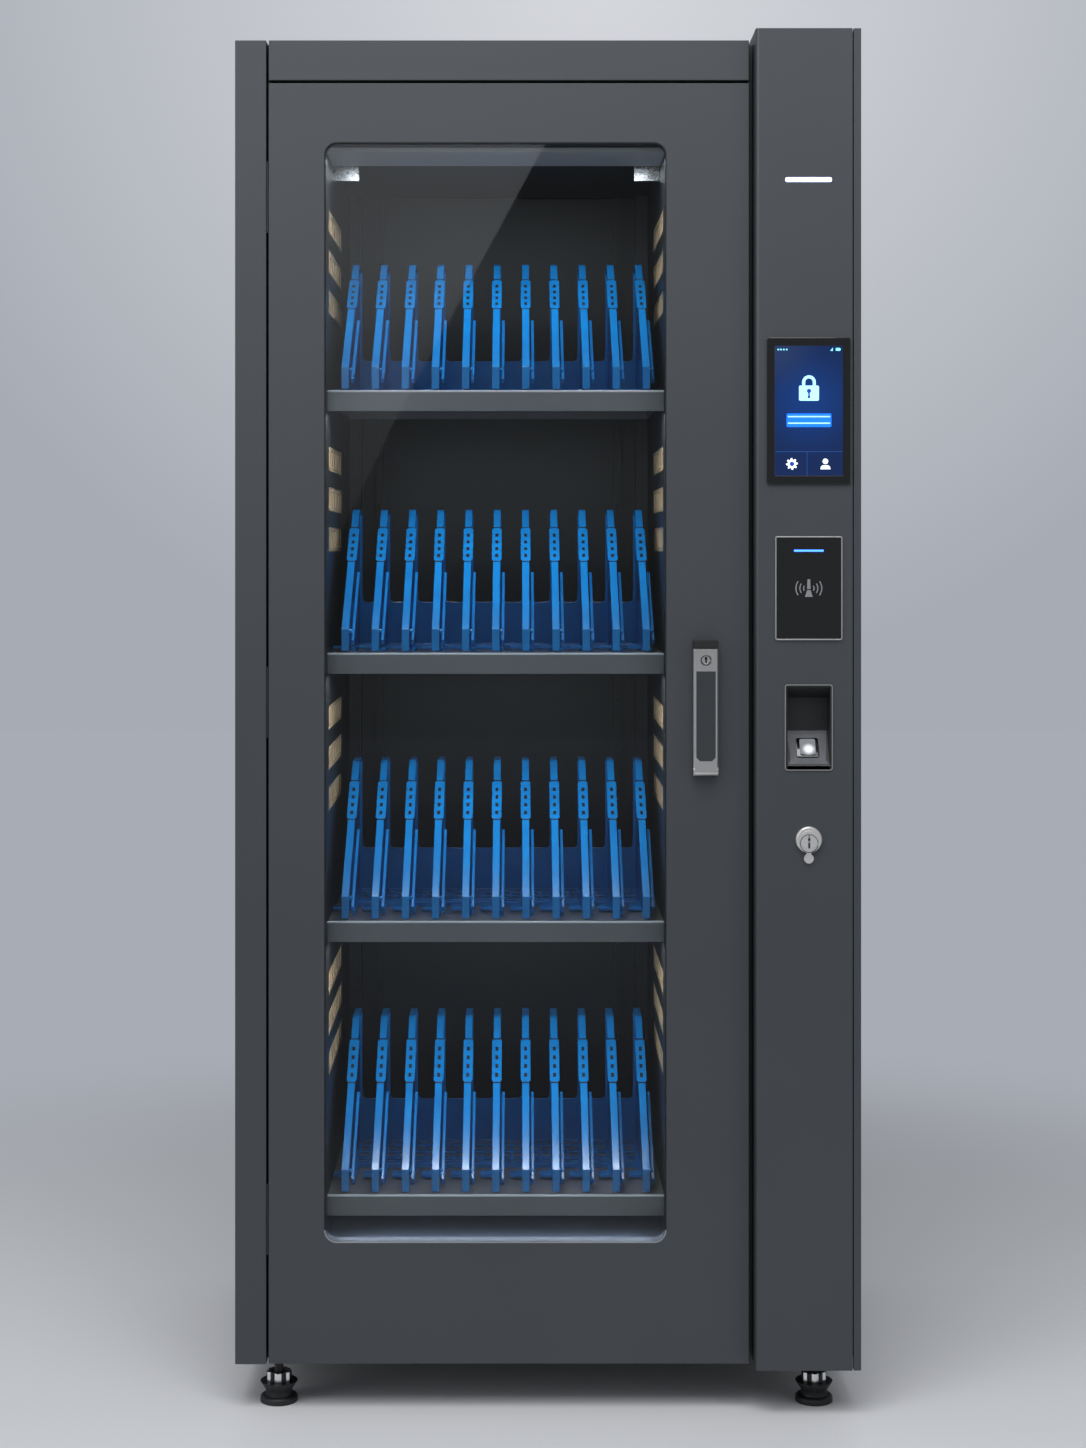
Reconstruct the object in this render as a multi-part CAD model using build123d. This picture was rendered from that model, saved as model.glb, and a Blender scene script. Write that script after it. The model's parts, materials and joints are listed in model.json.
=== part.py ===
from build123d import *
import math
import os

# A glass-fronted charging cabinet for laptops with a control column on its right side.
# Millimetres, +Z up. X runs to the right, Y runs to the back, and the origin is on the
# floor under the middle of the whole cabinet.

# Driving sizes of the whole cabinet
FOOT_HEIGHT = 64.0
BODY_HEIGHT = 1788.0
BODY_DEPTH = 590.0
STRIP_WIDTH = 42.0
DOOR_WIDTH = 648.5
COLUMN_WIDTH = 141.0
COLUMN_RISE = 11.0
COLUMN_PROUD = 25.0
SHEET = 1.5

# Gaps that show between the front pieces
HINGE_GAP = 3.5
COLUMN_GAP = 7.0
HEADER_GAP = 4.0
SILL_GAP = 1.0
HEADER_HEIGHT = 54.0

# Door and its window
DOOR_THICKNESS = 26.0
DOOR_SEAL_GAP = 3.0
HANDLE_STILE = 111.5
WINDOW_SILL = 163.0
WINDOW_STILE = 75.0
WINDOW_RAIL = 80.0
WINDOW_RADIUS = 17.0
GLASS_THICKNESS = 4.0
GLASS_OVERLAP = 14.0
GLASS_SEAL = 1.5

# Inside of the cabinet
REAR_SPACE = 85.0
INTERIOR_FLOOR = 212.0
INTERIOR_CEILING = 1712.0
LINER_WINDOWS = 3
LINER_WINDOW_HEIGHT = 34.0
LINER_WINDOW_PITCH = 56.0
LINER_WINDOW_FRONT = 78.0
LINER_WINDOW_BACK = 330.0
LINER_WINDOW_DROP = 74.0
OUTLET_BANK_DEPTH = 22.0
OUTLET_RECESS = 6.0
OUTLET_COLUMNS = 6
OUTLET_SOCKET = 22.0
POST_WIDTH = 18.0
POST_DEPTH = 25.0
UPRIGHT_WIDTH = 12.0
UPRIGHT_DEPTH = 10.0
UPRIGHT_INSET = 46.0
UPRIGHT_SLOT = 8.0
UPRIGHT_SLOT_PITCH = 75.0
SEAM = 2.0

# Shelves, set in half steps of a 15 mm hole pitch
SHELF_STEP = 7.5
SHELF_STEPS = [0, 50, 99, 147]
LOWEST_SHELF = 279.5
SHELF_SETBACK = 48.0
SHELF_REAR_GAP = 29.0
SHELF_LIP = 28.0
SHELF_FLANGE = 16.0
BRACKET_LEG = 14.0

# Blue trays and their upright dividers
DIVIDERS = 11
DIVIDER_PITCH = 41.4
DIVIDER_LENGTH = 295.0
DIVIDER_HEIGHT = 201.0
DIVIDER_FOOT = 30.0
DIVIDER_TOP = 68.0
DIVIDER_SHOULDER = 24.0
DIVIDER_HEEL = 10.0
DIVIDER_RIM = 10.0
DIVIDER_RIM_DEPTH = 5.0
DIVIDER_WEB = 2.4
DIVIDER_SETBACK = 7.0
CLIP_START = 0.56
CLIP_END = 0.83
CLIP_GROWTH = 2.0
TRAY_THICKNESS = 3.0
TRAY_MARGIN = 12.0
TRAY_OPENINGS = 2
TRAY_BAR = 16.0
TRAY_WALL_HEIGHT = 62.0
TRAY_NOTCH = 18.0
TRAY_NOTCH_DEPTH = 20.0

# Base and feet
RAIL = 30.0
RAIL_WALL = 2.5
FOOT_INSET_X = 55.0
REAR_RAIL_SETBACK = 12.0
PAD_DIAMETER = 51.0
PAD_HEIGHT = 9.0
PAD_CHAMFER = 2.25
NECK_DIAMETER = 36.0
NECK_HEIGHT = 7.0
CUP_HEIGHT = 12.0
NUT_ACROSS = 30.0
NUT_HEIGHT = 13.0
STUD_DIAMETER = 12.0
STUD_FIT = 0.1
STUD_REACH = 12.0
FOOT_TRAVEL = 10.0
JOINING_PLATE = 58.0
JOINING_PLATE_THICKNESS = 4.0

# Control column: the height of the screen's middle, and the gaps from one device to the next
COLUMN_GROOVE = 1.5
COLUMN_TRIM = 10.0
STATUS_WIDTH = 62.0
STATUS_BAR = 6.0
STATUS_GAP = 209.0
SCREEN_AT = 1350.0
SCREEN_WIDTH = 112.0
SCREEN_TALL = 196.0
SCREEN_PROUD = 4.0
SCREEN_DEPTH = 30.0
DISPLAY_WIDTH = 91.0
DISPLAY_TALL = 174.0
READER_GAP = 70.0
READER_WIDTH = 90.0
READER_TALL = 139.0
READER_RIM = 1.6
READER_PROUD = 3.0
FINGER_GAP = 60.0
FINGER_WIDTH = 63.0
FINGER_TALL = 114.0
FINGER_DEPTH = 38.0
FINGER_WALL = 3.0
SENSOR_SIZE = 30.0
OVERRIDE_GAP = 75.5
OVERRIDE_DIAMETER = 35.0
OVERRIDE_PROUD = 7.0
PLUG_DIAMETER = 25.0
PLUG_FIT = 0.15
LUG_DIAMETER = 13.0
LUG_DROP = 25.5

# Swing handle on the door
HANDLE_AT = 950.0
HANDLE_TALL = 184.0
HANDLE_WIDTH = 33.0
HANDLE_FROM_EDGE = 59.5
HANDLE_PLATE = 4.0
HANDLE_CAP = 10.0
LEVER_DEPTH = 15.0
LEVER_CLEARANCE = 0.4
LEVER_HEAD = 30.0
LEVER_HEEL = 22.0
INLAY_DEPTH = 3.0
INLAY_EDGE = 3.5
HANDLE_KEY_DIAMETER = 15.0
SPINDLE_DIAMETER = 12.0
SPINDLE_FIT = 0.1
CAM_LENGTH = 44.0
CAM_WIDTH = 15.0
CAM_THICKNESS = 3.0
CAM_GAP = 1.5
STRIKE_CLEARANCE = 5.0
STRIKE_OPENING = (80.0, 120.0)
STRIKE_LAP = 8.0

# Slim hinges in the gap beside the door
HINGE_HEIGHTS = [260.0, 958.0, 1640.0]
HINGE_LENGTH = 96.0
KNUCKLE_DIAMETER = 3.1
HINGE_PIN_DIAMETER = 1.6
HINGE_PIN_FIT = 0.05
HINGE_LEAF = 1.0
HINGE_LEAF_DEPTH = 18.0
HINGE_SETBACK = 1.0
KNUCKLE_GAP = 0.3

# Electric lock in the column and the bolt that reaches the door
LOCK_GAP = 12.0
LOCK_BODY = (44.0, 30.0, 90.0)
BOLT_DIAMETER = 12.0
BOLT_FIT = 0.05

# Rear service parts
FAN_DROP = 212.0
FAN_SIZE = 120.0
FAN_DEPTH = 25.0
FAN_HUB = 38.0
FAN_TIP_GAP = 2.0
FAN_BLADES = 7
VENT_SLOTS = 8
VENT_PITCH = 16.0
VENT_WIDTH = 180.0
VENT_HEIGHT = 5.0
INLET_WIDTH = 48.0
INLET_TALL = 27.0
INLET_DEPTH = 26.0
INLET_AT = 150.0
COLUMN_CORNER = 4.0
DEVICE_RADIUS = 3.0
SEAT = 0.5
READER_LEDGE = 14.0
READER_DEPTH = 12.0
FINGER_LIP = 1.5
FINGER_RECESS = 30.0
FINGER_BACK_DROP = 7.0
FINGER_HOOD_DROP = 16.0
SENSOR_THICKNESS = 2.0
LOCK_WALL = 2.0
LOCK_BARREL = 24.0
KEYWAY = (2.5, 14.0, 4.0)
SMALL_KEYWAY = (2.5, 9.4, 4.0)
STRIKE_FIT = 1.0
SEAL_INSET = 8.0
SEAL_WIDTH = 10.0
TONGUE_WIDTH = 9.0
TONGUE_SWING = 1.1
LEVER_PIN = 4.0
LEVER_PIN_FIT = 0.05
LEVER_PIN_REACH = 11.0
LEVER_TOP_GAP = 1.2
INLAY_CUT = 5.0
LIGHT_DEPTH = 120.0
LIGHT_THICKNESS = 6.0
CORNER_BRACKET_WIDTH = 36.0
CORNER_BRACKET_TALL = 25.0
SUPPLY_WIDTH = 300.0
SUPPLY_DEPTH = 200.0
SUPPLY_HEIGHT = 76.0
SUPPLY_FINS = 12
FIN_DEPTH = 14.0
CONTROLLER_AT = 1400.0
CONTROLLER_SIZE = (46.0, 160.0, 240.0)
TRANSFORMER = (110.0, 90.0, 48.0)
UNIT_WALL = 2.0
UNIT_RADIUS = 3.0
LOCK_BACK = 3.0
FAN_STRUT = 4.0
FAN_SHAFT = 6.0
FAN_PITCH = 32.0
BLADE_THICKNESS = 2.0
BLADE_ROOT = 9.5
BLADE_SHARE = 0.8
GRILLE_RINGS = 4
GRILLE_BAR = 3.0
SOCKET_OPENING = (20.0, 17.0)
SOCKET_DEPTH = 16.0
ROCKER_RADIUS = 8.0
ROCKER_WIDTH = 11.0
ROCKER_TILT = 9.0
ROCKER_FLAT = 2.4
ROCKER_LAP = 0.8
FIT = 0.3

# Places worked out from the sizes
OVERALL_WIDTH = STRIP_WIDTH + HINGE_GAP + DOOR_WIDTH + COLUMN_GAP + COLUMN_WIDTH
OVERALL_DEPTH = OVERRIDE_PROUD + COLUMN_PROUD + BODY_DEPTH
X_LEFT = -OVERALL_WIDTH / 2
X_RIGHT = OVERALL_WIDTH / 2
X_STRIP = X_LEFT + STRIP_WIDTH
X_DOOR = X_STRIP + HINGE_GAP
X_DOOR_END = X_DOOR + DOOR_WIDTH
X_COLUMN = X_DOOR_END + COLUMN_GAP
X_COLUMN_MID = (X_COLUMN + X_RIGHT) / 2
Y_COLUMN = -OVERALL_DEPTH / 2 + OVERRIDE_PROUD
Y_FACE = Y_COLUMN + COLUMN_PROUD
Y_FRAME = Y_FACE + DOOR_THICKNESS + DOOR_SEAL_GAP
Y_BACK = Y_FACE + BODY_DEPTH
Y_INNER = Y_BACK - REAR_SPACE
Z_BODY = FOOT_HEIGHT
Z_RAIL = Z_BODY + RAIL
Z_TOP = Z_BODY + BODY_HEIGHT
Z_HEADER = Z_TOP - HEADER_HEIGHT
Z_DOOR = Z_BODY + SILL_GAP
Z_DOOR_TOP = Z_HEADER - HEADER_GAP
Z_COLUMN_TOP = Z_TOP + COLUMN_RISE
X_WINDOW = X_DOOR + WINDOW_STILE
X_WINDOW_END = X_DOOR_END - HANDLE_STILE
Z_WINDOW_TOP = Z_DOOR_TOP - WINDOW_RAIL
Z_WINDOW = Z_DOOR + WINDOW_SILL
X_MIDDLE = (X_WINDOW + X_WINDOW_END) / 2
SHELF_TOPS = [LOWEST_SHELF + SHELF_STEP * step for step in SHELF_STEPS]
Y_SHELF = Y_FACE + SHELF_SETBACK
Y_SHELF_BACK = Y_INNER - SHELF_REAR_GAP
BAY_TOPS = SHELF_TOPS[1:] + [INTERIOR_CEILING]
STATUS_AT = SCREEN_AT + SCREEN_TALL / 2 + STATUS_GAP + STATUS_BAR / 2
READER_AT = SCREEN_AT - SCREEN_TALL / 2 - READER_GAP - READER_TALL / 2
FINGER_AT = READER_AT - READER_TALL / 2 - FINGER_GAP - FINGER_TALL / 2
OVERRIDE_AT = FINGER_AT - FINGER_TALL / 2 - OVERRIDE_GAP - OVERRIDE_DIAMETER / 2
LOCK_AT = FINGER_AT + FINGER_TALL / 2 + LOCK_GAP + LOCK_BODY[2] / 2


def block(x0, x1, y0, y1, z0, z1):
    """A box between two corners."""
    middle = Pos((x0 + x1) / 2, (y0 + y1) / 2, (z0 + z1) / 2)
    return middle * Box(x1 - x0, y1 - y0, z1 - z0)


def post(x, y, z0, z1, diameter):
    """An upright round bar."""
    return Pos(x, y, (z0 + z1) / 2) * Cylinder(diameter / 2, z1 - z0)


def pin_y(x, z, y0, y1, diameter):
    """A round bar that runs front to back."""
    return Pos(x, (y0 + y1) / 2, z) * Rot(90, 0, 0) * Cylinder(diameter / 2, y1 - y0)


def pin_x(y, z, x0, x1, diameter):
    """A round bar that runs left to right."""
    return Pos((x0 + x1) / 2, y, z) * Rot(0, 90, 0) * Cylinder(diameter / 2, x1 - x0)


def plate(x0, x1, z0, z1, y0, y1, radius):
    """An upright plate with round corners, seen from the front."""
    face = Plane(origin=((x0 + x1) / 2, y0, (z0 + z1) / 2), x_dir=(1, 0, 0), z_dir=(0, 1, 0))
    return extrude(face * RectangleRounded(x1 - x0, z1 - z0, radius), y1 - y0)


def folded(points, thickness=SHEET):
    """The section of a sheet folded at the points, with its thickness on the left."""
    way = [Vector(x, y) for x, y in points]
    runs = [(b - a).normalized() for a, b in zip(way, way[1:])]
    left = [Vector(-run.Y, run.X) for run in runs]
    inner = [way[0] + left[0] * thickness]
    for corner, before, after in zip(way[1:], left, left[1:]):
        inner.append(corner + (before + after) * (thickness / (1 + before.dot(after))))
    inner.append(way[-1] + left[-1] * thickness)
    return Polygon(*points, *[(v.X, v.Y) for v in reversed(inner)], align=None)


def upright_sheet(points, z0, z1):
    """A folded sheet that stands from z0 to z1, its points given as X, Y."""
    return Pos(0, 0, z0) * extrude(folded(points), z1 - z0, dir=(0, 0, 1))


def cross_sheet(points, x0, x1):
    """A folded sheet that runs from x0 to x1, its points given as Y, Z."""
    return extrude(Plane.YZ.offset(x0) * folded(points), x1 - x0, dir=(1, 0, 0))


def save(name, *solids):
    """Write one sub-part, made of one or more separate solids."""
    whole = solids[0] if len(solids) == 1 else Compound(children=list(solids))
    export_step(whole, f"parts/{name}.step")


def rail_middles():
    """The Y of the middle of the front rail and of the rear rail."""
    return Y_FRAME + SHEET + RAIL / 2, Y_BACK - SHEET - REAR_RAIL_SETBACK - RAIL / 2


def base_frame():
    """The welded tube frame on which the cabinet and the column stand, with its joining plates."""
    x0, x1 = X_LEFT + SHEET, X_RIGHT - SHEET
    y0, y1 = rail_middles()[0] - RAIL / 2, rail_middles()[1] + RAIL / 2
    frame = block(x0, x1, y0, y1, Z_BODY, Z_RAIL)
    for inner0, inner1 in [(x0 + RAIL, X_COLUMN - RAIL / 2), (X_COLUMN + RAIL / 2, x1 - RAIL)]:
        frame -= block(inner0, inner1, y0 + RAIL, y1 - RAIL, Z_BODY, Z_RAIL)
    hollow0, hollow1 = Z_BODY + RAIL_WALL, Z_RAIL - RAIL_WALL
    for side in (y0, y1 - RAIL):
        frame -= block(x0 + RAIL, x1 - RAIL, side + RAIL_WALL, side + RAIL - RAIL_WALL, hollow0, hollow1)
    for x, y in foot_places():
        frame -= post(x, y, Z_BODY, Z_BODY + STUD_REACH + FOOT_TRAVEL + FIT, STUD_DIAMETER + 2 * STUD_FIT)
    z0 = Z_BODY - JOINING_PLATE_THICKNESS
    half = JOINING_PLATE / 2
    for y in rail_middles():
        frame += block(X_COLUMN - half, X_COLUMN + half, y - RAIL / 2, y + RAIL / 2, z0, Z_BODY)
    return frame


def foot_places():
    """The middles of the four feet, front pair first."""
    across = OVERALL_WIDTH / 2 - FOOT_INSET_X
    return [(side * across, y) for y in rail_middles() for side in (-1, 1)]


def foot(x, y):
    """A levelling foot: a round pad with its cup, and a stud with its nut."""
    neck_top = PAD_HEIGHT + NECK_HEIGHT
    cup_top = neck_top + CUP_HEIGHT
    pad = post(x, y, 0, PAD_HEIGHT, PAD_DIAMETER)
    pad = chamfer(pad.edges().group_by(Axis.Z)[-1], PAD_CHAMFER)
    pad += post(x, y, PAD_HEIGHT, neck_top, NECK_DIAMETER)
    cup = loft([
        Plane((x, y, neck_top)) * Circle(NECK_DIAMETER / 2),
        Plane((x, y, cup_top)) * Circle(PAD_DIAMETER / 2),
    ])
    pad += cup
    stud = Pos(x, y, cup_top) * extrude(RegularPolygon(NUT_ACROSS / 2, 6, major_radius=False), NUT_HEIGHT)
    stud += post(x, y, cup_top + NUT_HEIGHT, Z_BODY + STUD_REACH, STUD_DIAMETER)
    return pad, stud


def left_side_panel():
    """The left side, folded round into the strip beside the door."""
    points = [(X_LEFT, Y_BACK), (X_LEFT, Y_FACE), (X_STRIP, Y_FACE), (X_STRIP, Y_FRAME)]
    return upright_sheet(points, Z_BODY, Z_TOP)


def right_side_panel():
    """The wall between the cabinet and the column."""
    return block(X_COLUMN - SHEET, X_COLUMN, Y_FRAME, Y_BACK, Z_RAIL, Z_TOP - SHEET)


def front_frame():
    """The frame behind the door, open where the strike plate for the handle's cam sits behind it."""
    y0, y1 = Y_FRAME, Y_FRAME + SHEET
    sheet = block(X_LEFT + SHEET, X_COLUMN - SHEET, y0, y1, Z_BODY, Z_TOP - SHEET)
    sheet -= block(X_WINDOW, X_WINDOW_END, y0, y1, INTERIOR_FLOOR, INTERIOR_CEILING)
    x, z = handle_axis()
    reach = CAM_WIDTH / 2 + STRIKE_CLEARANCE
    low, high = z - CAM_LENGTH - STRIKE_CLEARANCE, z + reach
    wide, tall = STRIKE_OPENING[0] / 2, STRIKE_OPENING[1] / 2
    middle = (low + high) / 2
    sheet -= block(x - wide, x + wide, y0, y1, middle - tall, middle + tall)
    wide, tall = wide + STRIKE_LAP, tall + STRIKE_LAP
    strike = block(x - wide, x + wide, y1, y1 + SHEET, middle - tall, middle + tall)
    return sheet, strike - plate(x - reach, x + reach, low, high, y1, y1 + SHEET, reach / 2)


def header_fascia():
    """The folded panel above the door."""
    points = [(Y_FRAME, Z_TOP), (Y_FACE, Z_TOP), (Y_FACE, Z_HEADER), (Y_FRAME, Z_HEADER)]
    return cross_sheet(points, X_DOOR, X_DOOR_END)


def top_panel():
    """The roof of the cabinet."""
    return block(X_LEFT + SHEET, X_COLUMN, Y_FRAME, Y_BACK, Z_TOP - SHEET, Z_TOP)


def bottom_panel():
    """The sheet on the base frame."""
    return block(X_LEFT + SHEET, X_COLUMN - SHEET, Y_FRAME + SHEET, Y_BACK - SHEET, Z_RAIL, Z_RAIL + SHEET)


def fan_middle():
    """The middle of the fan on the back."""
    return X_MIDDLE, Z_TOP - FAN_DROP


def inlet_middle():
    """The middle of the mains inlet low on the back."""
    return X_MIDDLE, INLET_AT


def back_panel():
    """The back, with its air slots and the ways for the fan and the inlet."""
    y0 = Y_BACK - SHEET
    sheet = block(X_LEFT + SHEET, X_COLUMN - SHEET, y0, Y_BACK, Z_BODY, Z_TOP - SHEET)
    x, z = fan_middle()
    sheet -= pin_y(x, z, y0, Y_BACK, FAN_SIZE - 2 * FAN_TIP_GAP)
    for side in (-1, 1):
        for row in range(VENT_SLOTS):
            zs = Z_RAIL + VENT_PITCH * (row + 2)
            xs = X_MIDDLE + side * VENT_WIDTH
            sheet -= block(xs - VENT_WIDTH / 2, xs + VENT_WIDTH / 2, y0, Y_BACK, zs, zs + VENT_HEIGHT)
    x, z = inlet_middle()
    wide, tall = INLET_WIDTH / 2 + FIT, INLET_TALL / 2 + FIT
    return sheet - block(x - wide, x + wide, y0, Y_BACK, z - tall, z + tall)


def bay_spans():
    """The clear height of each bay, from the shelf under it to what closes it."""
    return [(low, high) for low, high in zip(SHELF_TOPS, BAY_TOPS)]


def liner_rows(top):
    """The foot of each opening in the side lining of one bay, from the top down."""
    first = top - LINER_WINDOW_DROP - LINER_WINDOW_HEIGHT
    return [first - row * LINER_WINDOW_PITCH for row in range(LINER_WINDOWS)]


def side_lining(x0, x1):
    """One inner side wall, with the openings through which the outlets show."""
    wall = block(x0, x1, Y_FRAME + SHEET, Y_INNER, Z_RAIL + SHEET, Z_TOP - SHEET)
    cuts = []
    for low, top in bay_spans():
        for z in liner_rows(top):
            front, back = Y_FACE + LINER_WINDOW_FRONT, Y_FACE + LINER_WINDOW_BACK
            cuts.append(block(x0, x1, front, back, z, z + LINER_WINDOW_HEIGHT))
    return wall - cuts


def outlet_bank(x_wall, away, top):
    """The row of outlets behind one bay's openings, its sockets facing the bay."""
    rows = liner_rows(top)
    front, back = Y_FACE + LINER_WINDOW_FRONT, Y_FACE + LINER_WINDOW_BACK
    x_far = x_wall + away * OUTLET_BANK_DEPTH
    low = rows[-1] - SEAM
    high = rows[0] + LINER_WINDOW_HEIGHT + SEAM
    bank = block(min(x_wall, x_far), max(x_wall, x_far), front - SEAM, back + SEAM, low, high)
    step = (back - front) / OUTLET_COLUMNS
    cuts = []
    x_deep = x_wall + away * OUTLET_RECESS
    for z in rows:
        middle = z + LINER_WINDOW_HEIGHT / 2
        for k in range(OUTLET_COLUMNS):
            y = front + step * (k + 0.5)
            half = OUTLET_SOCKET / 2
            x0, x1 = min(x_wall, x_deep), max(x_wall, x_deep)
            cuts.append(block(x0, x1, y - half, y + half, middle - half, middle + half))
    return bank - cuts


def rear_wall():
    """The inner back wall, one panel for each bay with a seam between."""
    x0, x1 = X_WINDOW, X_WINDOW_END
    edges = [INTERIOR_FLOOR + SEAM] + SHELF_TOPS[1:] + [INTERIOR_CEILING]
    return [block(x0, x1, Y_INNER, Y_INNER + SHEET, z0, z1 - SEAM) for z0, z1 in zip(edges, edges[1:])]


def rear_uprights():
    """The corner posts and the slotted uprights that stand against the back wall."""
    z0, z1 = INTERIOR_FLOOR + SHEET, INTERIOR_CEILING
    solids = []
    for x_wall, way in ((X_WINDOW, 1), (X_WINDOW_END, -1)):
        left = min(x_wall, x_wall + way * POST_WIDTH)
        right = left + POST_WIDTH
        tube = block(left, right, Y_INNER - POST_DEPTH, Y_INNER, z0, z1)
        tube -= block(left + SHEET, right - SHEET, Y_INNER - POST_DEPTH + SHEET, Y_INNER - SHEET, z0, z1)
        solids.append(tube)
        near = x_wall + way * (UPRIGHT_INSET - UPRIGHT_WIDTH / 2)
        far = near + way * UPRIGHT_WIDTH
        front = Y_INNER - UPRIGHT_DEPTH
        bar = block(min(near, far), max(near, far), front, Y_INNER, z0, z1)
        middle = (near + far) / 2
        count = int((z1 - z0) / UPRIGHT_SLOT_PITCH)
        for k in range(count):
            z = z0 + UPRIGHT_SLOT_PITCH * (k + 0.5)
            bar -= block(middle - SHEET, middle + SHEET, front, Y_INNER - SHEET, z, z + UPRIGHT_SLOT)
        solids.append(bar)
    return solids


def interior_ceiling():
    """The ceiling of the top bay."""
    return block(X_WINDOW, X_WINDOW_END, Y_FRAME + SHEET, Y_INNER, INTERIOR_CEILING, INTERIOR_CEILING + SHEET)


def interior_floor():
    """The bright plate under the lowest shelf."""
    return block(X_WINDOW, X_WINDOW_END, Y_FRAME + SHEET, Y_INNER, INTERIOR_FLOOR, INTERIOR_FLOOR + SHEET)


def ceiling_light():
    """The flat light panel under the front of the ceiling."""
    y0 = Y_FRAME + SHEET
    z0 = INTERIOR_CEILING - LIGHT_THICKNESS
    return block(X_WINDOW, X_WINDOW_END, y0, y0 + LIGHT_DEPTH, z0, INTERIOR_CEILING)


def corner_brackets():
    """Two bright angle brackets that hold the ceiling to the side linings."""
    y0 = Y_FRAME + SHEET + LIGHT_DEPTH + BRACKET_LEG
    z1 = INTERIOR_CEILING
    z0 = z1 - CORNER_BRACKET_TALL
    solids = []
    for x_wall, way in ((X_WINDOW, 1), (X_WINDOW_END, -1)):
        x_in = x_wall + way * CORNER_BRACKET_WIDTH
        x_leg = x_wall + way * SHEET
        face = block(min(x_wall, x_in), max(x_wall, x_in), y0, y0 + SHEET, z0, z1)
        leg = block(min(x_wall, x_leg), max(x_wall, x_leg), y0, y0 + CORNER_BRACKET_TALL, z0, z1)
        solids.append(face + leg)
    return solids


def shelf(top):
    """A shelf of folded sheet with a deep front lip."""
    low = top - SHELF_LIP
    points = [(Y_SHELF_BACK, top - SHELF_FLANGE), (Y_SHELF_BACK, top), (Y_SHELF, top),
              (Y_SHELF, low), (Y_SHELF + BRACKET_LEG / 2, low)]
    return cross_sheet(points, X_WINDOW + FIT, X_WINDOW_END - FIT)


def shelf_brackets(top):
    """The two angles on the side linings that carry one shelf."""
    y0, y1 = Y_SHELF + BRACKET_LEG, Y_SHELF_BACK - BRACKET_LEG
    z1 = top - SHEET
    solids = []
    for x_wall, way in ((X_WINDOW, 1), (X_WINDOW_END, -1)):
        x_leg = x_wall + way * SHEET
        x_in = x_wall + way * BRACKET_LEG
        leg = block(min(x_wall, x_leg), max(x_wall, x_leg), y0, y1, z1 - BRACKET_LEG, z1)
        seat = block(min(x_wall, x_in), max(x_wall, x_in), y0, y1, z1 - SHEET, z1)
        solids.append(leg + seat)
    return solids


def divider_places():
    """The middle of each divider across the cabinet."""
    return [X_MIDDLE + DIVIDER_PITCH * (k - (DIVIDERS - 1) / 2) for k in range(DIVIDERS)]


def tray(top):
    """A blue tray with openings between the dividers and a notched rear wall."""
    places = divider_places()
    x0, x1 = places[0] - TRAY_MARGIN, places[-1] + TRAY_MARGIN
    y0 = Y_SHELF + DIVIDER_SETBACK
    y1 = y0 + DIVIDER_LENGTH
    body = block(x0, x1, y0, y1, top, top + TRAY_THICKNESS)
    body += block(x0, x1, y1, y1 + TRAY_THICKNESS, top, top + TRAY_WALL_HEIGHT)
    step = (DIVIDER_LENGTH - TRAY_BAR) / TRAY_OPENINGS
    half = (DIVIDER_PITCH - TRAY_BAR) / 2
    cuts = []
    for left in places[:-1]:
        middle = left + DIVIDER_PITCH / 2
        for k in range(TRAY_OPENINGS):
            front = y0 + TRAY_BAR + step * k
            back = front + step - TRAY_BAR
            cuts.append(block(middle - half, middle + half, front, back, top, top + TRAY_THICKNESS))
        foot_z = top + TRAY_WALL_HEIGHT - TRAY_NOTCH_DEPTH + TRAY_NOTCH / 2
        cuts.append(pin_y(middle, foot_z, y1, y1 + TRAY_THICKNESS, TRAY_NOTCH))
        notch = TRAY_NOTCH / 2
        y2 = y1 + TRAY_THICKNESS
        cuts.append(block(middle - notch, middle + notch, y1, y2, foot_z, top + TRAY_WALL_HEIGHT))
    return body - cuts


def divider_outline():
    """The side view of a divider, from its front foot at the origin."""
    length = DIVIDER_LENGTH
    high = DIVIDER_HEIGHT - TRAY_THICKNESS
    corners = [(0, 0), (length, 0), (length, high), (length - DIVIDER_TOP, high), (0, DIVIDER_FOOT)]
    face = Polygon(*corners, align=None)
    heel = face.vertices().sort_by_distance((length, high))[0]
    face = fillet(heel, DIVIDER_HEEL)
    shoulder = face.vertices().sort_by_distance((length - DIVIDER_TOP, high))[0]
    return fillet(shoulder, DIVIDER_SHOULDER)


def divider():
    """A divider: a thin web with a rim round its front, top and back, and a clip."""
    outline = divider_outline()
    hollow = offset(outline, -DIVIDER_RIM_DEPTH, kind=Kind.INTERSECTION)
    foot = Polygon((DIVIDER_RIM_DEPTH, 0), (DIVIDER_LENGTH - DIVIDER_RIM_DEPTH, 0),
                   (DIVIDER_LENGTH - DIVIDER_RIM_DEPTH, 2 * DIVIDER_RIM_DEPTH),
                   (DIVIDER_RIM_DEPTH, 2 * DIVIDER_RIM_DEPTH), align=None)
    band = outline - hollow - foot
    web = extrude(Plane.YZ.offset(-DIVIDER_WEB / 2) * outline, DIVIDER_WEB, dir=(1, 0, 0))
    rim = extrude(Plane.YZ.offset(-DIVIDER_RIM / 2) * band, DIVIDER_RIM, dir=(1, 0, 0))
    clip_half = DIVIDER_RIM / 2 + CLIP_GROWTH
    clip = extrude(Plane.YZ.offset(-clip_half) * divider_clip(), 2 * clip_half, dir=(1, 0, 0))
    return web + rim + clip


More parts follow.
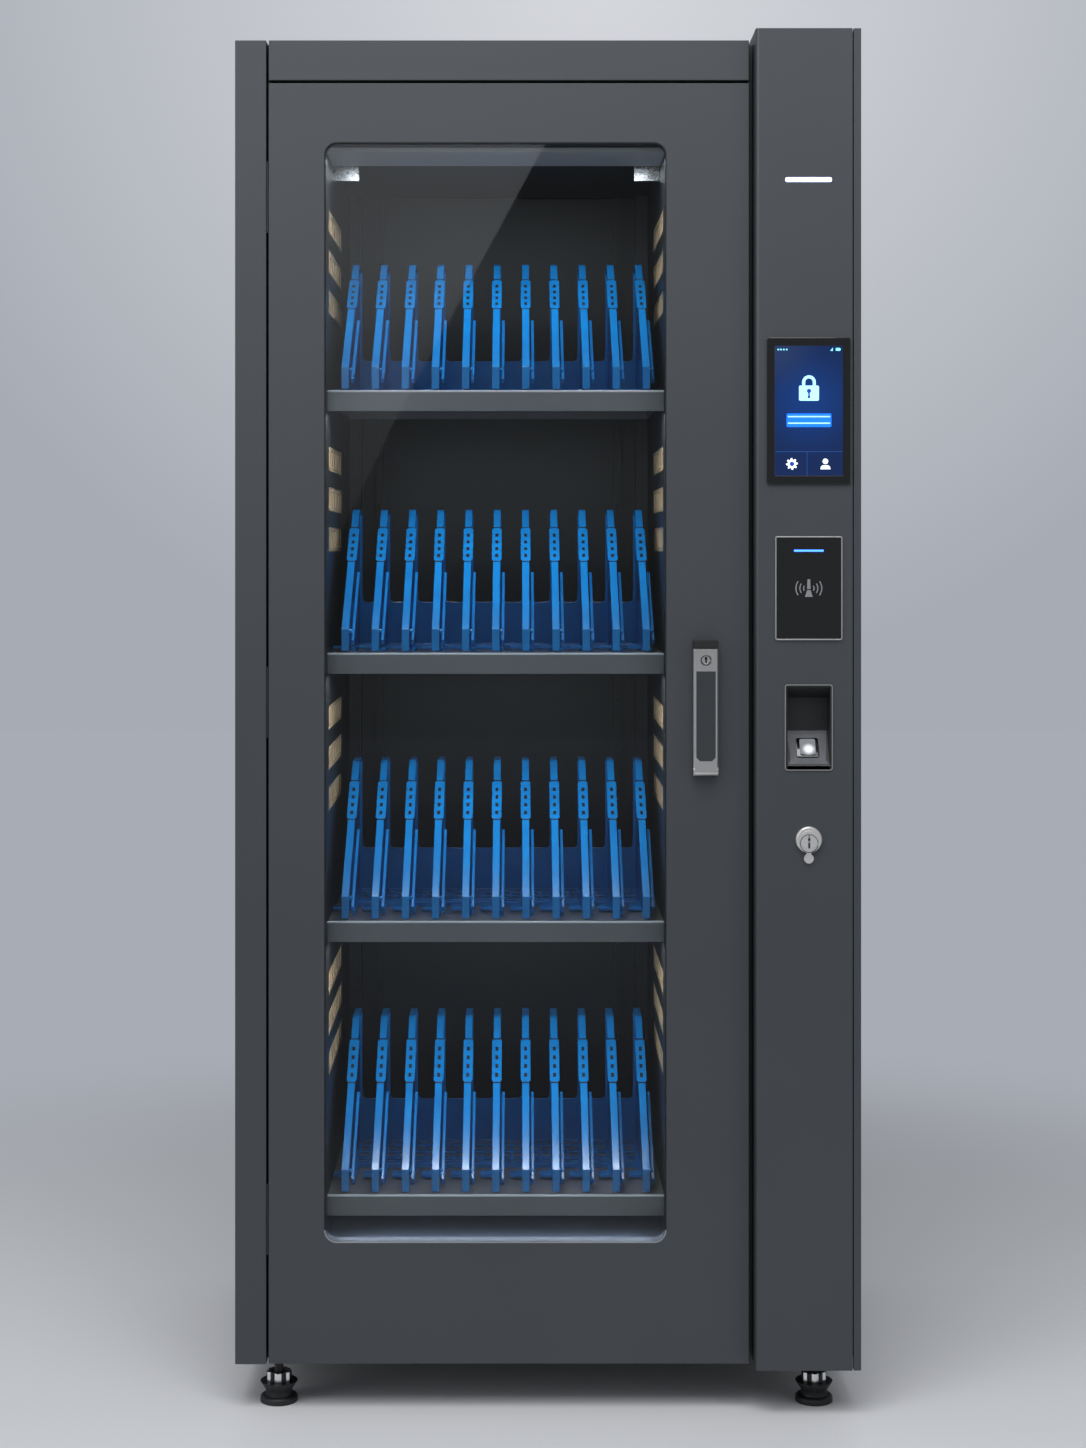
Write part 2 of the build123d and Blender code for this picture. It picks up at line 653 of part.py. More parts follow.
def divider_clip():
    """The side view of the thicker stretch high on the leaning edge."""
    rise = DIVIDER_HEIGHT - TRAY_THICKNESS - DIVIDER_FOOT
    run = DIVIDER_LENGTH - DIVIDER_TOP
    depth = DIVIDER_RIM_DEPTH * math.hypot(run, rise) / rise
    ends = [(run * share, DIVIDER_FOOT + rise * share) for share in (CLIP_START, CLIP_END)]
    (y0, z0), (y1, z1) = ends
    return Polygon((y0, z0), (y0 + depth, z0), (y1 + depth, z1), (y1, z1), align=None)


def power_supply():
    """The supply in the base compartment: a hollow case with fins on its top, over its transformer."""
    z0 = Z_RAIL + SHEET
    z1 = z0 + SUPPLY_HEIGHT
    wide, deep = SUPPLY_WIDTH / 2, SUPPLY_DEPTH / 2
    y = (Y_FRAME + Y_BACK) / 2
    case = block(X_MIDDLE - wide, X_MIDDLE + wide, y - deep, y + deep, z0, z1)
    pitch = SUPPLY_WIDTH / SUPPLY_FINS
    gaps = [X_MIDDLE - wide + pitch * (k + 0.5) for k in range(SUPPLY_FINS)]
    case -= [block(x - pitch / 4, x + pitch / 4, y - deep, y + deep, z1 - FIN_DEPTH, z1) for x in gaps]
    wide, deep = wide - UNIT_WALL, deep - UNIT_WALL
    case -= block(X_MIDDLE - wide, X_MIDDLE + wide, y - deep, y + deep, z0, z1 - FIN_DEPTH - UNIT_WALL)
    wide, deep, tall = TRANSFORMER[0] / 2, TRANSFORMER[1] / 2, TRANSFORMER[2]
    return case, block(X_MIDDLE - wide, X_MIDDLE + wide, y - deep, y + deep, z0, z0 + tall)


def controller_unit():
    """The control box on the right wall inside the column, open towards that wall."""
    x1 = X_RIGHT - SHEET
    y = (Y_FACE + Y_BACK) / 2
    z = CONTROLLER_AT
    wide, deep, tall = CONTROLLER_SIZE
    case = block(x1 - wide, x1, y - deep / 2, y + deep / 2, z - tall / 2, z + tall / 2)
    case = fillet(case.edges().group_by(Axis.X)[0], UNIT_RADIUS)
    deep, tall = deep / 2 - UNIT_WALL, tall / 2 - UNIT_WALL
    return case - block(x1 - wide + UNIT_WALL, x1, y - deep, y + deep, z - tall, z + tall)


def fan_housing():
    """The square fan housing with three struts that hold the hub."""
    x, z = fan_middle()
    y1 = Y_BACK - SHEET
    y0 = y1 - FAN_DEPTH
    half = FAN_SIZE / 2
    body = block(x - half, x + half, y0, y1, z - half, z + half)
    body -= pin_y(x, z, y0, y1, FAN_SIZE - 2 * FAN_TIP_GAP)
    for k in range(3):
        strut = block(-FAN_STRUT / 2, FAN_STRUT / 2, y0, y0 + FAN_STRUT, 0, half - FAN_TIP_GAP / 2)
        body += Pos(x, 0, z) * Rot(0, 120 * k, 0) * strut
    body += pin_y(x, z, y0, y0 + FAN_STRUT, FAN_HUB)
    return body + pin_y(x, z, y0, y1 - FAN_STRUT, FAN_SHAFT)


def fan_rotor():
    """The fan rotor: a hub with pitched blades on the housing's shaft."""
    x, z = fan_middle()
    y0 = Y_BACK - SHEET - FAN_DEPTH + FAN_STRUT + FIT
    y1 = Y_BACK - SHEET - FAN_STRUT
    deep = y1 - y0
    root, tip = FAN_HUB / 2 - BLADE_ROOT, FAN_SIZE / 2 - 2 * FAN_TIP_GAP
    chord = BLADE_SHARE * deep / math.cos(math.radians(FAN_PITCH))
    rotor = Cylinder(FAN_HUB / 2, deep)
    for k in range(FAN_BLADES):
        blade = Rot(FAN_PITCH, 0, 0) * Box(tip - root, BLADE_THICKNESS, chord)
        blade = Pos((tip + root) / 2, 0, 0) * blade
        rotor += Rot(0, 0, 360 * k / FAN_BLADES) * blade
    rotor &= Cylinder(tip, deep)
    rotor -= Cylinder(FAN_SHAFT / 2 + SPINDLE_FIT, deep)
    return Pos(x, (y0 + y1) / 2, z) * Rot(90, 0, 0) * rotor


def fan_grille():
    """The pressed grille over the fan, its rings cut through between four spokes."""
    x, z = fan_middle()
    y0 = Y_BACK - SHEET
    radius = FAN_SIZE / 2 - FAN_TIP_GAP
    disc = pin_y(x, z, y0, Y_BACK, 2 * radius)
    step = (radius - FAN_HUB / 2) / GRILLE_RINGS
    for k in range(GRILLE_RINGS):
        inner = FAN_HUB / 2 + step * k
        slot = pin_y(x, z, y0, Y_BACK, 2 * (inner + step - GRILLE_BAR)) - pin_y(x, z, y0, Y_BACK, 2 * inner)
        slot -= block(x - radius, x + radius, y0, Y_BACK, z - GRILLE_BAR / 2, z + GRILLE_BAR / 2)
        slot -= block(x - GRILLE_BAR / 2, x + GRILLE_BAR / 2, y0, Y_BACK, z - radius, z + radius)
        disc -= slot
    return disc


def rocker_axis():
    """The place of the rocker's turning line, X at its middle, then Y and Z."""
    x, z = inlet_middle()
    return x + INLET_WIDTH / 4, Y_BACK - ROCKER_RADIUS + FIT, z


def mains_inlet():
    """The appliance inlet with three blades, and the pocket for its rocker."""
    x, z = inlet_middle()
    half, tall = INLET_WIDTH / 2, INLET_TALL / 2
    y0 = Y_BACK - INLET_DEPTH
    body = block(x - half, x + half, y0, Y_BACK, z - tall, z + tall)
    mid = x - half / 2 + FIT
    wide, high = SOCKET_OPENING[0] / 2, SOCKET_OPENING[1] / 2
    body -= plate(mid - wide, mid + wide, z - high, z + high, Y_BACK - SOCKET_DEPTH, Y_BACK, high / 3)
    for k in (-1, 0, 1):
        xs = mid + k * wide / 2
        body += block(xs - SHEET / 2, xs + SHEET / 2, Y_BACK - SOCKET_DEPTH, Y_BACK - SHEET,
                      z - SHEET, z + 2 * SHEET)
    xr, yr, zr = rocker_axis()
    pocket = ROCKER_RADIUS + FIT
    reach = ROCKER_WIDTH / 2 + FIT
    body -= pin_x(yr, zr, xr - reach, xr + reach, 2 * pocket)
    return body - block(xr - reach, xr + reach, yr, Y_BACK, zr - pocket, zr + pocket)


def mains_rocker():
    """The rocker of the mains switch, hollowed to two flats."""
    xr, yr, zr = rocker_axis()
    reach = ROCKER_WIDTH / 2
    drum = pin_x(yr, zr, xr - reach, xr + reach, 2 * ROCKER_RADIUS)
    front = ROCKER_RADIUS - ROCKER_FLAT
    for way in (-1, 1):
        flat = Pos(xr, yr, zr) * Rot(way * ROCKER_TILT, 0, 0)
        middle = Pos(0, front + ROCKER_RADIUS / 2, way * ROCKER_RADIUS / 2)
        drum -= flat * middle * Box(2 * reach, ROCKER_RADIUS, ROCKER_RADIUS + ROCKER_LAP)
    return drum


def device_plate(height, width, tall, y0, y1, radius):
    """A plate with round corners centred on the column at one height."""
    x = X_COLUMN_MID
    return plate(x - width / 2, x + width / 2, height - tall / 2, height + tall / 2, y0, y1, radius)


def column_shell():
    """The column's walls, folded from one sheet, with its roof and the trim at its right."""
    trim = X_RIGHT - COLUMN_TRIM
    points = [(trim, Y_COLUMN + COLUMN_TRIM), (trim, Y_COLUMN), (X_RIGHT, Y_COLUMN),
              (X_RIGHT, Y_BACK), (X_COLUMN, Y_BACK), (X_COLUMN, Y_FACE)]
    walls = upright_sheet(points, Z_BODY, Z_COLUMN_TOP)
    walls += block(X_COLUMN, X_RIGHT, Y_FACE, Y_BACK, Z_COLUMN_TOP - SHEET, Z_COLUMN_TOP)
    walls -= block(X_COLUMN, X_COLUMN + SHEET, Y_FRAME + SHEET, Y_BACK - SHEET, Z_BODY, Z_RAIL)
    y, z = bolt_line()
    return walls - pin_x(y, z, X_COLUMN, X_COLUMN + SHEET, BOLT_DIAMETER + 2 * FIT)


def column_front():
    """The cover of the column, open where its devices sit."""
    end = X_RIGHT - COLUMN_TRIM - COLUMN_GROOVE
    cover = block(X_COLUMN, end, Y_COLUMN, Y_FACE, Z_BODY, Z_COLUMN_TOP)
    corner = cover.edges().filter_by(Axis.Z).sort_by_distance((X_COLUMN, Y_COLUMN, 0))[0]
    cover = fillet(corner, COLUMN_CORNER)
    cover -= block(X_COLUMN + SHEET, end - SHEET, Y_COLUMN + SHEET, Y_FACE,
                   Z_BODY + SHEET, Z_COLUMN_TOP - SHEET)
    cover -= device_plate(STATUS_AT, STATUS_WIDTH, STATUS_BAR, Y_COLUMN, Y_FACE, STATUS_BAR / 2 - SEAT)
    cover -= device_plate(SCREEN_AT, DISPLAY_WIDTH, DISPLAY_TALL, Y_COLUMN, Y_FACE, DEVICE_RADIUS)
    wide, tall = READER_WIDTH - READER_LEDGE, READER_TALL - READER_LEDGE
    cover -= device_plate(READER_AT, wide, tall, Y_COLUMN, Y_FACE, DEVICE_RADIUS)
    cover -= device_plate(FINGER_AT, FINGER_WIDTH, FINGER_TALL, Y_COLUMN, Y_FACE, DEVICE_RADIUS)
    return cover - pin_y(X_COLUMN_MID, OVERRIDE_AT, Y_COLUMN, Y_FACE, PLUG_DIAMETER + 2 * LOCK_WALL)


def status_light():
    """The light bar near the top of the column."""
    y1 = Y_COLUMN + STATUS_BAR
    return device_plate(STATUS_AT, STATUS_WIDTH, STATUS_BAR, Y_COLUMN - SEAT, y1, STATUS_BAR / 2 - SEAT)


def screen_bezel():
    """The screen's housing, with a shallow bed for its glass."""
    front = Y_COLUMN - SCREEN_PROUD
    bezel = device_plate(SCREEN_AT, SCREEN_WIDTH, SCREEN_TALL, front, Y_COLUMN, DEVICE_RADIUS)
    back = Y_COLUMN + SCREEN_DEPTH
    bezel += device_plate(SCREEN_AT, DISPLAY_WIDTH, DISPLAY_TALL, Y_COLUMN, back, DEVICE_RADIUS)
    return bezel - device_plate(SCREEN_AT, DISPLAY_WIDTH, DISPLAY_TALL, front, front + SHEET, SHEET)


def screen_display():
    """The glass of the touch screen."""
    front = Y_COLUMN - SCREEN_PROUD
    return device_plate(SCREEN_AT, DISPLAY_WIDTH, DISPLAY_TALL, front, front + SHEET, SHEET)


def reader_body():
    """The card reader behind its black face."""
    wide, tall = READER_WIDTH - 2 * READER_RIM, READER_TALL - 2 * READER_RIM
    front = Y_COLUMN - READER_PROUD + SEAT
    body = device_plate(READER_AT, wide, tall, front, Y_COLUMN, DEVICE_RADIUS - READER_RIM)
    behind = READER_TALL - READER_LEDGE
    back = Y_COLUMN + READER_DEPTH
    return body + device_plate(READER_AT, READER_WIDTH - READER_LEDGE, behind, Y_COLUMN, back, DEVICE_RADIUS)


def reader_rim():
    """The thin bright rim round the reader's face."""
    front = Y_COLUMN - READER_PROUD
    rim = device_plate(READER_AT, READER_WIDTH, READER_TALL, front, Y_COLUMN, DEVICE_RADIUS)
    wide, tall = READER_WIDTH - 2 * READER_RIM, READER_TALL - 2 * READER_RIM
    return rim - device_plate(READER_AT, wide, tall, front, Y_COLUMN, DEVICE_RADIUS - READER_RIM)


def finger_floor():
    """The two ends of the sloping floor of the fingerprint recess, as Y and Z."""
    low = (Y_COLUMN - FINGER_LIP, FINGER_AT - FINGER_TALL / 2 + 2 * FINGER_WALL)
    high = (Y_COLUMN + FINGER_RECESS, FINGER_AT - FINGER_BACK_DROP)
    return low, high


def fingerprint_housing():
    """The moulded recess of the fingerprint reader, under a sloping hood."""
    front = Y_COLUMN - FINGER_LIP
    back = Y_COLUMN + FINGER_DEPTH
    housing = device_plate(FINGER_AT, FINGER_WIDTH, FINGER_TALL, front, back, DEVICE_RADIUS)
    low, high = finger_floor()
    top = FINGER_AT + FINGER_TALL / 2 - FINGER_WALL
    side = Polygon(low, high, (high[0], top - FINGER_HOOD_DROP), (front, top), align=None)
    half = FINGER_WIDTH / 2 - FINGER_WALL
    return housing - extrude(Plane.YZ.offset(X_COLUMN_MID - half) * side, 2 * half, dir=(1, 0, 0))


def fingerprint_sensor():
    """The square sensor pad on the sloping floor."""
    (y0, z0), (y1, z1) = finger_floor()
    middle = (X_COLUMN_MID, (y0 + y1) / 2, (z0 + z1) / 2)
    slope = Plane(origin=middle, x_dir=(1, 0, 0), z_dir=(0, z0 - z1, y1 - y0))
    return extrude(slope * RectangleRounded(SENSOR_SIZE, SENSOR_SIZE, DEVICE_RADIUS), SENSOR_THICKNESS)


def override_lock():
    """The key lock's body with its flange and the small lug under it."""
    x, z = X_COLUMN_MID, OVERRIDE_AT
    front = Y_COLUMN - OVERRIDE_PROUD + SEAT
    flange = pin_y(x, z, front, Y_COLUMN, OVERRIDE_DIAMETER)
    flange = chamfer(flange.edges().group_by(Axis.Y)[0], SHEET)
    lug_front = Y_COLUMN - OVERRIDE_PROUD / 2
    flange += pin_y(x, z - LUG_DROP, lug_front, Y_COLUMN, LUG_DIAMETER)
    half = LUG_DIAMETER / 4
    flange += block(x - half, x + half, lug_front, Y_COLUMN, z - LUG_DROP, z)
    flange += pin_y(x, z, Y_COLUMN, Y_COLUMN + LOCK_BARREL, PLUG_DIAMETER + 2 * LOCK_WALL)
    return flange - pin_y(x, z, front, Y_COLUMN + LOCK_BARREL, PLUG_DIAMETER + 2 * PLUG_FIT)


def override_plug():
    """The turning plug of the key lock with its keyway and the cam behind it."""
    x, z = X_COLUMN_MID, OVERRIDE_AT
    front = Y_COLUMN - OVERRIDE_PROUD
    back = Y_COLUMN + LOCK_BARREL + FIT
    plug = pin_y(x, z, front, back, PLUG_DIAMETER)
    wide, tall, deep = KEYWAY
    plug -= block(x - wide / 2, x + wide / 2, front, front + deep, z - tall / 2, z + tall / 2)
    half = CAM_WIDTH / 2
    low, high = z - CAM_LENGTH / 2, z + half
    return plug + plate(x - half, x + half, low, high, back, back + CAM_THICKNESS, half - SEAT)


def bolt_line():
    """The Y and Z of the electric lock's bolt, in the middle of the door's edge."""
    return Y_FACE + DOOR_THICKNESS / 2, LOCK_AT


def electric_lock():
    """The electric lock on the column's left wall."""
    y, z = bolt_line()
    deep, wide, tall = LOCK_BODY
    x0 = X_COLUMN + SHEET
    y0 = y - DOOR_THICKNESS / 2
    body = block(x0, x0 + deep, y0, y0 + wide, z - tall / 2, z + tall / 2)
    return body - pin_x(y, z, x0, x0 + deep - LOCK_BACK, BOLT_DIAMETER + 2 * BOLT_FIT)


def lock_bolt():
    """The bolt, drawn back into the lock while the door is unlocked."""
    y, z = bolt_line()
    bolt = pin_x(y, z, X_COLUMN + SEAT, X_COLUMN + LOCK_BODY[0] - LOCK_BACK, BOLT_DIAMETER)
    return chamfer(bolt.edges().group_by(Axis.X)[0], SHEET)


def window_plate(grow, y0, y1):
    """A plate in the shape of the door's window, larger all round by a margin."""
    radius = max(WINDOW_RADIUS + grow, SHEET)
    return plate(X_WINDOW - grow, X_WINDOW_END + grow, Z_WINDOW - grow, Z_WINDOW_TOP + grow, y0, y1, radius)


def glass_faces():
    """The front and back of the glass, behind the door's skin and its seal."""
    front = Y_FACE + SHEET + GLASS_SEAL
    return front, front + GLASS_THICKNESS


def door_skin():
    """The outer sheet of the door, folded back on all four sides."""
    y1 = Y_FACE + DOOR_THICKNESS
    skin = block(X_DOOR, X_DOOR_END, Y_FACE, y1, Z_DOOR, Z_DOOR_TOP)
    skin -= block(X_DOOR + SHEET, X_DOOR_END - SHEET, Y_FACE + SHEET, y1, Z_DOOR + SHEET, Z_DOOR_TOP - SHEET)
    skin -= window_plate(0, Y_FACE, Y_FACE + SHEET)
    x, z = handle_axis()
    skin -= pin_y(x, z, Y_FACE, Y_FACE + SHEET, SPINDLE_DIAMETER + 2 * SPINDLE_FIT)
    y, z = bolt_line()
    half = BOLT_DIAMETER / 2 + STRIKE_FIT
    return skin - block(X_DOOR_END - SHEET, X_DOOR_END, y - half, y + half, z - half, z + half)


def door_inner_panel():
    """The sheet that closes the back of the door, with a sleeve round the window."""
    y1 = Y_FACE + DOOR_THICKNESS
    sheet = block(X_DOOR + SHEET, X_DOOR_END - SHEET, y1 - SHEET, y1, Z_DOOR + SHEET, Z_DOOR_TOP - SHEET)
    sheet += window_plate(SHEET, glass_faces()[1], y1)
    sheet -= window_plate(0, glass_faces()[1], y1)
    x, z = handle_axis()
    return sheet - pin_y(x, z, y1 - SHEET, y1, SPINDLE_DIAMETER + 2 * SPINDLE_FIT)


def door_glass():
    """The toughened pane."""
    return window_plate(GLASS_OVERLAP, *glass_faces())


def door_glass_seal():
    """The black seal between the skin and the pane, just showing inside the window."""
    y0 = Y_FACE + SHEET
    return window_plate(GLASS_OVERLAP, y0, glass_faces()[0]) - window_plate(-GLASS_SEAL, y0, glass_faces()[0])


def door_seal():
    """The rubber seal on the back of the door."""
    y0 = Y_FACE + DOOR_THICKNESS
    y1 = y0 + DOOR_SEAL_GAP - FIT
    x0, x1 = X_DOOR + SEAL_INSET, X_DOOR_END - SEAL_INSET
    z0, z1 = Z_DOOR + SEAL_INSET, Z_DOOR_TOP - SEAL_INSET
    wide = SEAL_WIDTH
    return block(x0, x1, y0, y1, z0, z1) - block(x0 + wide, x1 - wide, y0, y1, z0 + wide, z1 - wide)


def handle_axis():
    """The X and Z of the handle's spindle, at the lower end of the lever."""
    return X_DOOR_END - HANDLE_FROM_EDGE, HANDLE_AT - HANDLE_TALL / 2 + LEVER_DEPTH / 2 + SHEET


def handle_plate():
    """The handle's base on the door, with the cap above the lever."""
    x, z_axis = handle_axis()
    half, low, high = HANDLE_WIDTH / 2, HANDLE_AT - HANDLE_TALL / 2, HANDLE_AT + HANDLE_TALL / 2
    y0 = Y_FACE - HANDLE_PLATE
    base = plate(x - half, x + half, low, high, y0, Y_FACE, SHEET)
    cap = plate(x - half, x + half, high - HANDLE_CAP, high, y0 - LEVER_DEPTH, y0, SHEET)
    cap = chamfer(cap.edges().group_by(Axis.Y)[0], SEAT)
    return base + cap - pin_y(x, z_axis, y0, Y_FACE, SPINDLE_DIAMETER + 2 * SPINDLE_FIT)


def lever_pivot():
    """The Y of the pin on which the lever swings out."""
    return Y_FACE - HANDLE_PLATE - LEVER_CLEARANCE - LEVER_DEPTH / 2


def handle_spindle():
    """The spindle through the door, with the lever's pin at its front and the cam behind."""
    x, z = handle_axis()
    y_pin = lever_pivot()
    cam_front = Y_FRAME + 2 * SHEET + CAM_GAP
    spindle = pin_y(x, z, Y_FACE - HANDLE_PLATE, cam_front, SPINDLE_DIAMETER)
    neck = TONGUE_WIDTH / 2
    spindle += block(x - neck, x + neck, y_pin, Y_FACE - HANDLE_PLATE, z - neck, z + neck)
    spindle += pin_x(y_pin, z, x - neck, x + neck, 2 * neck)
    spindle += pin_x(y_pin, z, x - LEVER_PIN_REACH, x + LEVER_PIN_REACH, LEVER_PIN)
    half = CAM_WIDTH / 2
    low, high = z - CAM_LENGTH, z + half
    return spindle + plate(x - half, x + half, low, high, cam_front, cam_front + CAM_THICKNESS, half - SEAT)


def lever_top():
    """The height of the lever's upper end, just under the cap."""
    return HANDLE_AT + HANDLE_TALL / 2 - HANDLE_CAP - LEVER_TOP_GAP


def inlay_span():
    """The lower and upper ends of the dark inlay in the lever."""
    return HANDLE_AT - HANDLE_TALL / 2 + LEVER_HEEL, lever_top() - LEVER_HEAD


def inlay_shape():
    """The inlay's outline from the front, its lower corners cut off."""
    x, _ = handle_axis()
    half = HANDLE_WIDTH / 2 - INLAY_EDGE
    low, high = inlay_span()
    face = Polygon((x - half, high), (x - half, low + INLAY_CUT), (x - half + INLAY_CUT, low),
                   (x + half - INLAY_CUT, low), (x + half, low + INLAY_CUT), (x + half, high), align=None)
    y0 = lever_pivot() - LEVER_DEPTH / 2
    return extrude(Plane.XZ.offset(-y0) * face, INLAY_DEPTH, dir=(0, 1, 0))


def handle_lever():
    """The lever, round at its lower end where it swings out from the door."""
    x, z = handle_axis()
    y = lever_pivot()
    half, thick = HANDLE_WIDTH / 2, LEVER_DEPTH / 2
    lever = block(x - half, x + half, y - thick, y + thick, z, lever_top())
    lever = chamfer(lever.edges().group_by(Axis.Y)[0].filter_by(Axis.Z), SHEET)
    lever += pin_x(y, z, x - half, x + half, LEVER_DEPTH)
    lever -= inlay_shape()
    pocket = TONGUE_WIDTH / 2 + FIT
    lever -= block(x - pocket, x + pocket, y, y + thick, z - thick, z + pocket)
    lever -= block(x - pocket, x + pocket, y, y + thick, z, z + thick + TONGUE_WIDTH)
    lever -= pin_x(y, z, x - pocket, x + pocket, 2 * (pocket + TONGUE_SWING))
    lever -= pin_x(y, z, x - LEVER_PIN_REACH - FIT, x + LEVER_PIN_REACH + FIT, LEVER_PIN + 2 * LEVER_PIN_FIT)
    zk = lever_top() - LEVER_HEAD / 2
    return lever - pin_y(x, zk, y - thick, y, HANDLE_KEY_DIAMETER + 2 * PLUG_FIT)


def handle_inlay():
    """The dark strip set into the front of the lever."""
    return inlay_shape()


def handle_key():
    """The small key plug in the head of the lever."""
    x, _ = handle_axis()
    y0 = lever_pivot() - LEVER_DEPTH / 2 - SEAT
    z = lever_top() - LEVER_HEAD / 2
    plug = pin_y(x, z, y0, lever_pivot() - SEAT, HANDLE_KEY_DIAMETER)
    wide, tall, deep = SMALL_KEYWAY
    return plug - block(x - wide / 2, x + wide / 2, y0, y0 + deep, z - tall / 2, z + tall / 2)


def hinge_axis():
    """The X and Y of the line on which the door turns, in the gap at its left."""
    return X_STRIP + HINGE_GAP / 2, Y_FACE + HINGE_SETBACK


def knuckle(z0, z1, way):
    """One barrel of a hinge and the web that ties it to its leaf."""
    x, y = hinge_axis()
    wall = x + way * HINGE_GAP / 2
    near = wall - way * HINGE_LEAF
    web = block(min(wall, near), max(wall, near), y, y + KNUCKLE_DIAMETER, z0, z1)
    bore = post(x, y, z0, z1, HINGE_PIN_DIAMETER + 2 * HINGE_PIN_FIT)
    return post(x, y, z0, z1, KNUCKLE_DIAMETER) + web - bore


def hinge_leaf(z0, z1, way):
    """The flat leaf on one side of the gap."""
    x, y = hinge_axis()
    wall = x + way * HINGE_GAP / 2
    near = wall - way * HINGE_LEAF
    start = y + KNUCKLE_DIAMETER
    return block(min(wall, near), max(wall, near), start, start + HINGE_LEAF_DEPTH, z0, z1)


def hinge_frame_side(height):
    """The leaf on the cabinet with its two knuckles, and the pin."""
    z0, z1 = height - HINGE_LENGTH / 2, height + HINGE_LENGTH / 2
    third = HINGE_LENGTH / 3
    leaf = hinge_leaf(z0, z1, -1)
    leaf += knuckle(z0, z0 + third - KNUCKLE_GAP, -1)
    leaf += knuckle(z1 - third + KNUCKLE_GAP, z1, -1)
    x, y = hinge_axis()
    return [leaf, post(x, y, z0, z1, HINGE_PIN_DIAMETER)]


def hinge_door_side(height):
    """The leaf on the door with its knuckle between the other two."""
    z0, z1 = height - HINGE_LENGTH / 2, height + HINGE_LENGTH / 2
    third = HINGE_LENGTH / 3
    return hinge_leaf(z0, z1, 1) + knuckle(z0 + third, z1 - third, 1)


def write_cabinet():
    """Write every piece that stands still."""
    save("base_frame", base_frame())
    save("left_side_panel", left_side_panel())
    save("right_side_panel", right_side_panel())
    save("front_frame", *front_frame())
    save("header_fascia", header_fascia())
    save("top_panel", top_panel())
    save("bottom_panel", bottom_panel())
    save("back_panel", back_panel())
    save("left_lining", side_lining(X_WINDOW - SHEET, X_WINDOW))
    save("right_lining", side_lining(X_WINDOW_END, X_WINDOW_END + SHEET))
    walls = ((X_WINDOW - SHEET, -1), (X_WINDOW_END + SHEET, 1))
    save("outlet_banks", *[outlet_bank(x, way, top) for x, way in walls for top in BAY_TOPS])
    save("rear_wall", *rear_wall())
    save("rear_uprights", *rear_uprights())
    save("interior_ceiling", interior_ceiling())
    save("interior_floor", interior_floor())
    save("ceiling_light", ceiling_light())
    save("corner_brackets", *corner_brackets())
    save("power_supply", *power_supply())
    save("controller_unit", controller_unit())
    save("fan_housing", fan_housing())
    save("fan_grille", fan_grille())
    save("mains_inlet", mains_inlet())
    save("hinge_frame_leaves", *[solid for z in HINGE_HEIGHTS for solid in hinge_frame_side(z)])


def write_shelves():
    """Write the shelves with what stands on them."""
    save("shelf_brackets", *[solid for top in SHELF_TOPS for solid in shelf_brackets(top)])
    save("shelves", *[shelf(top) for top in SHELF_TOPS])
    save("trays", *[tray(top) for top in SHELF_TOPS])
    one = divider()
    y = Y_SHELF + DIVIDER_SETBACK
    for number, top in enumerate(SHELF_TOPS, start=1):
        save(f"dividers_{number}", *[Pos(x, y, top + TRAY_THICKNESS) * one for x in divider_places()])


def write_column():
    """Write the column and its devices."""
    save("column_shell", column_shell())
    save("column_front", column_front())
    save("status_light", status_light())
    save("screen_bezel", screen_bezel())
    save("screen_display", screen_display())
    save("reader_body", reader_body())
    save("reader_rim", reader_rim())
    save("fingerprint_housing", fingerprint_housing())
    save("fingerprint_sensor", fingerprint_sensor())
    save("override_lock", override_lock())
    save("electric_lock", electric_lock())


def write_door():
    """Write the pieces of the door."""
    save("door_skin", door_skin())
    save("door_inner_panel", door_inner_panel())
    save("door_glass", door_glass())
    save("door_glass_seal", door_glass_seal())
    save("door_seal", door_seal())
    save("hinge_door_leaves", *[hinge_door_side(z) for z in HINGE_HEIGHTS])
    save("handle_plate", handle_plate())


def write_moving():
    """Write the pieces that turn or slide by themselves."""
    save("handle_spindle", handle_spindle())
    save("handle_lever", handle_lever())
    save("handle_inlay", handle_inlay())
    save("handle_key", handle_key())
    save("override_plug", override_plug())
    save("lock_bolt", lock_bolt())
    save("fan_rotor", fan_rotor())
    save("mains_rocker", mains_rocker())
    for number, (x, y) in enumerate(foot_places(), start=1):
        save(f"foot_{number}", *foot(x, y))


os.makedirs("parts", exist_ok=True)
write_cabinet()
write_shelves()
write_column()
write_door()
write_moving()
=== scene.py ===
import math

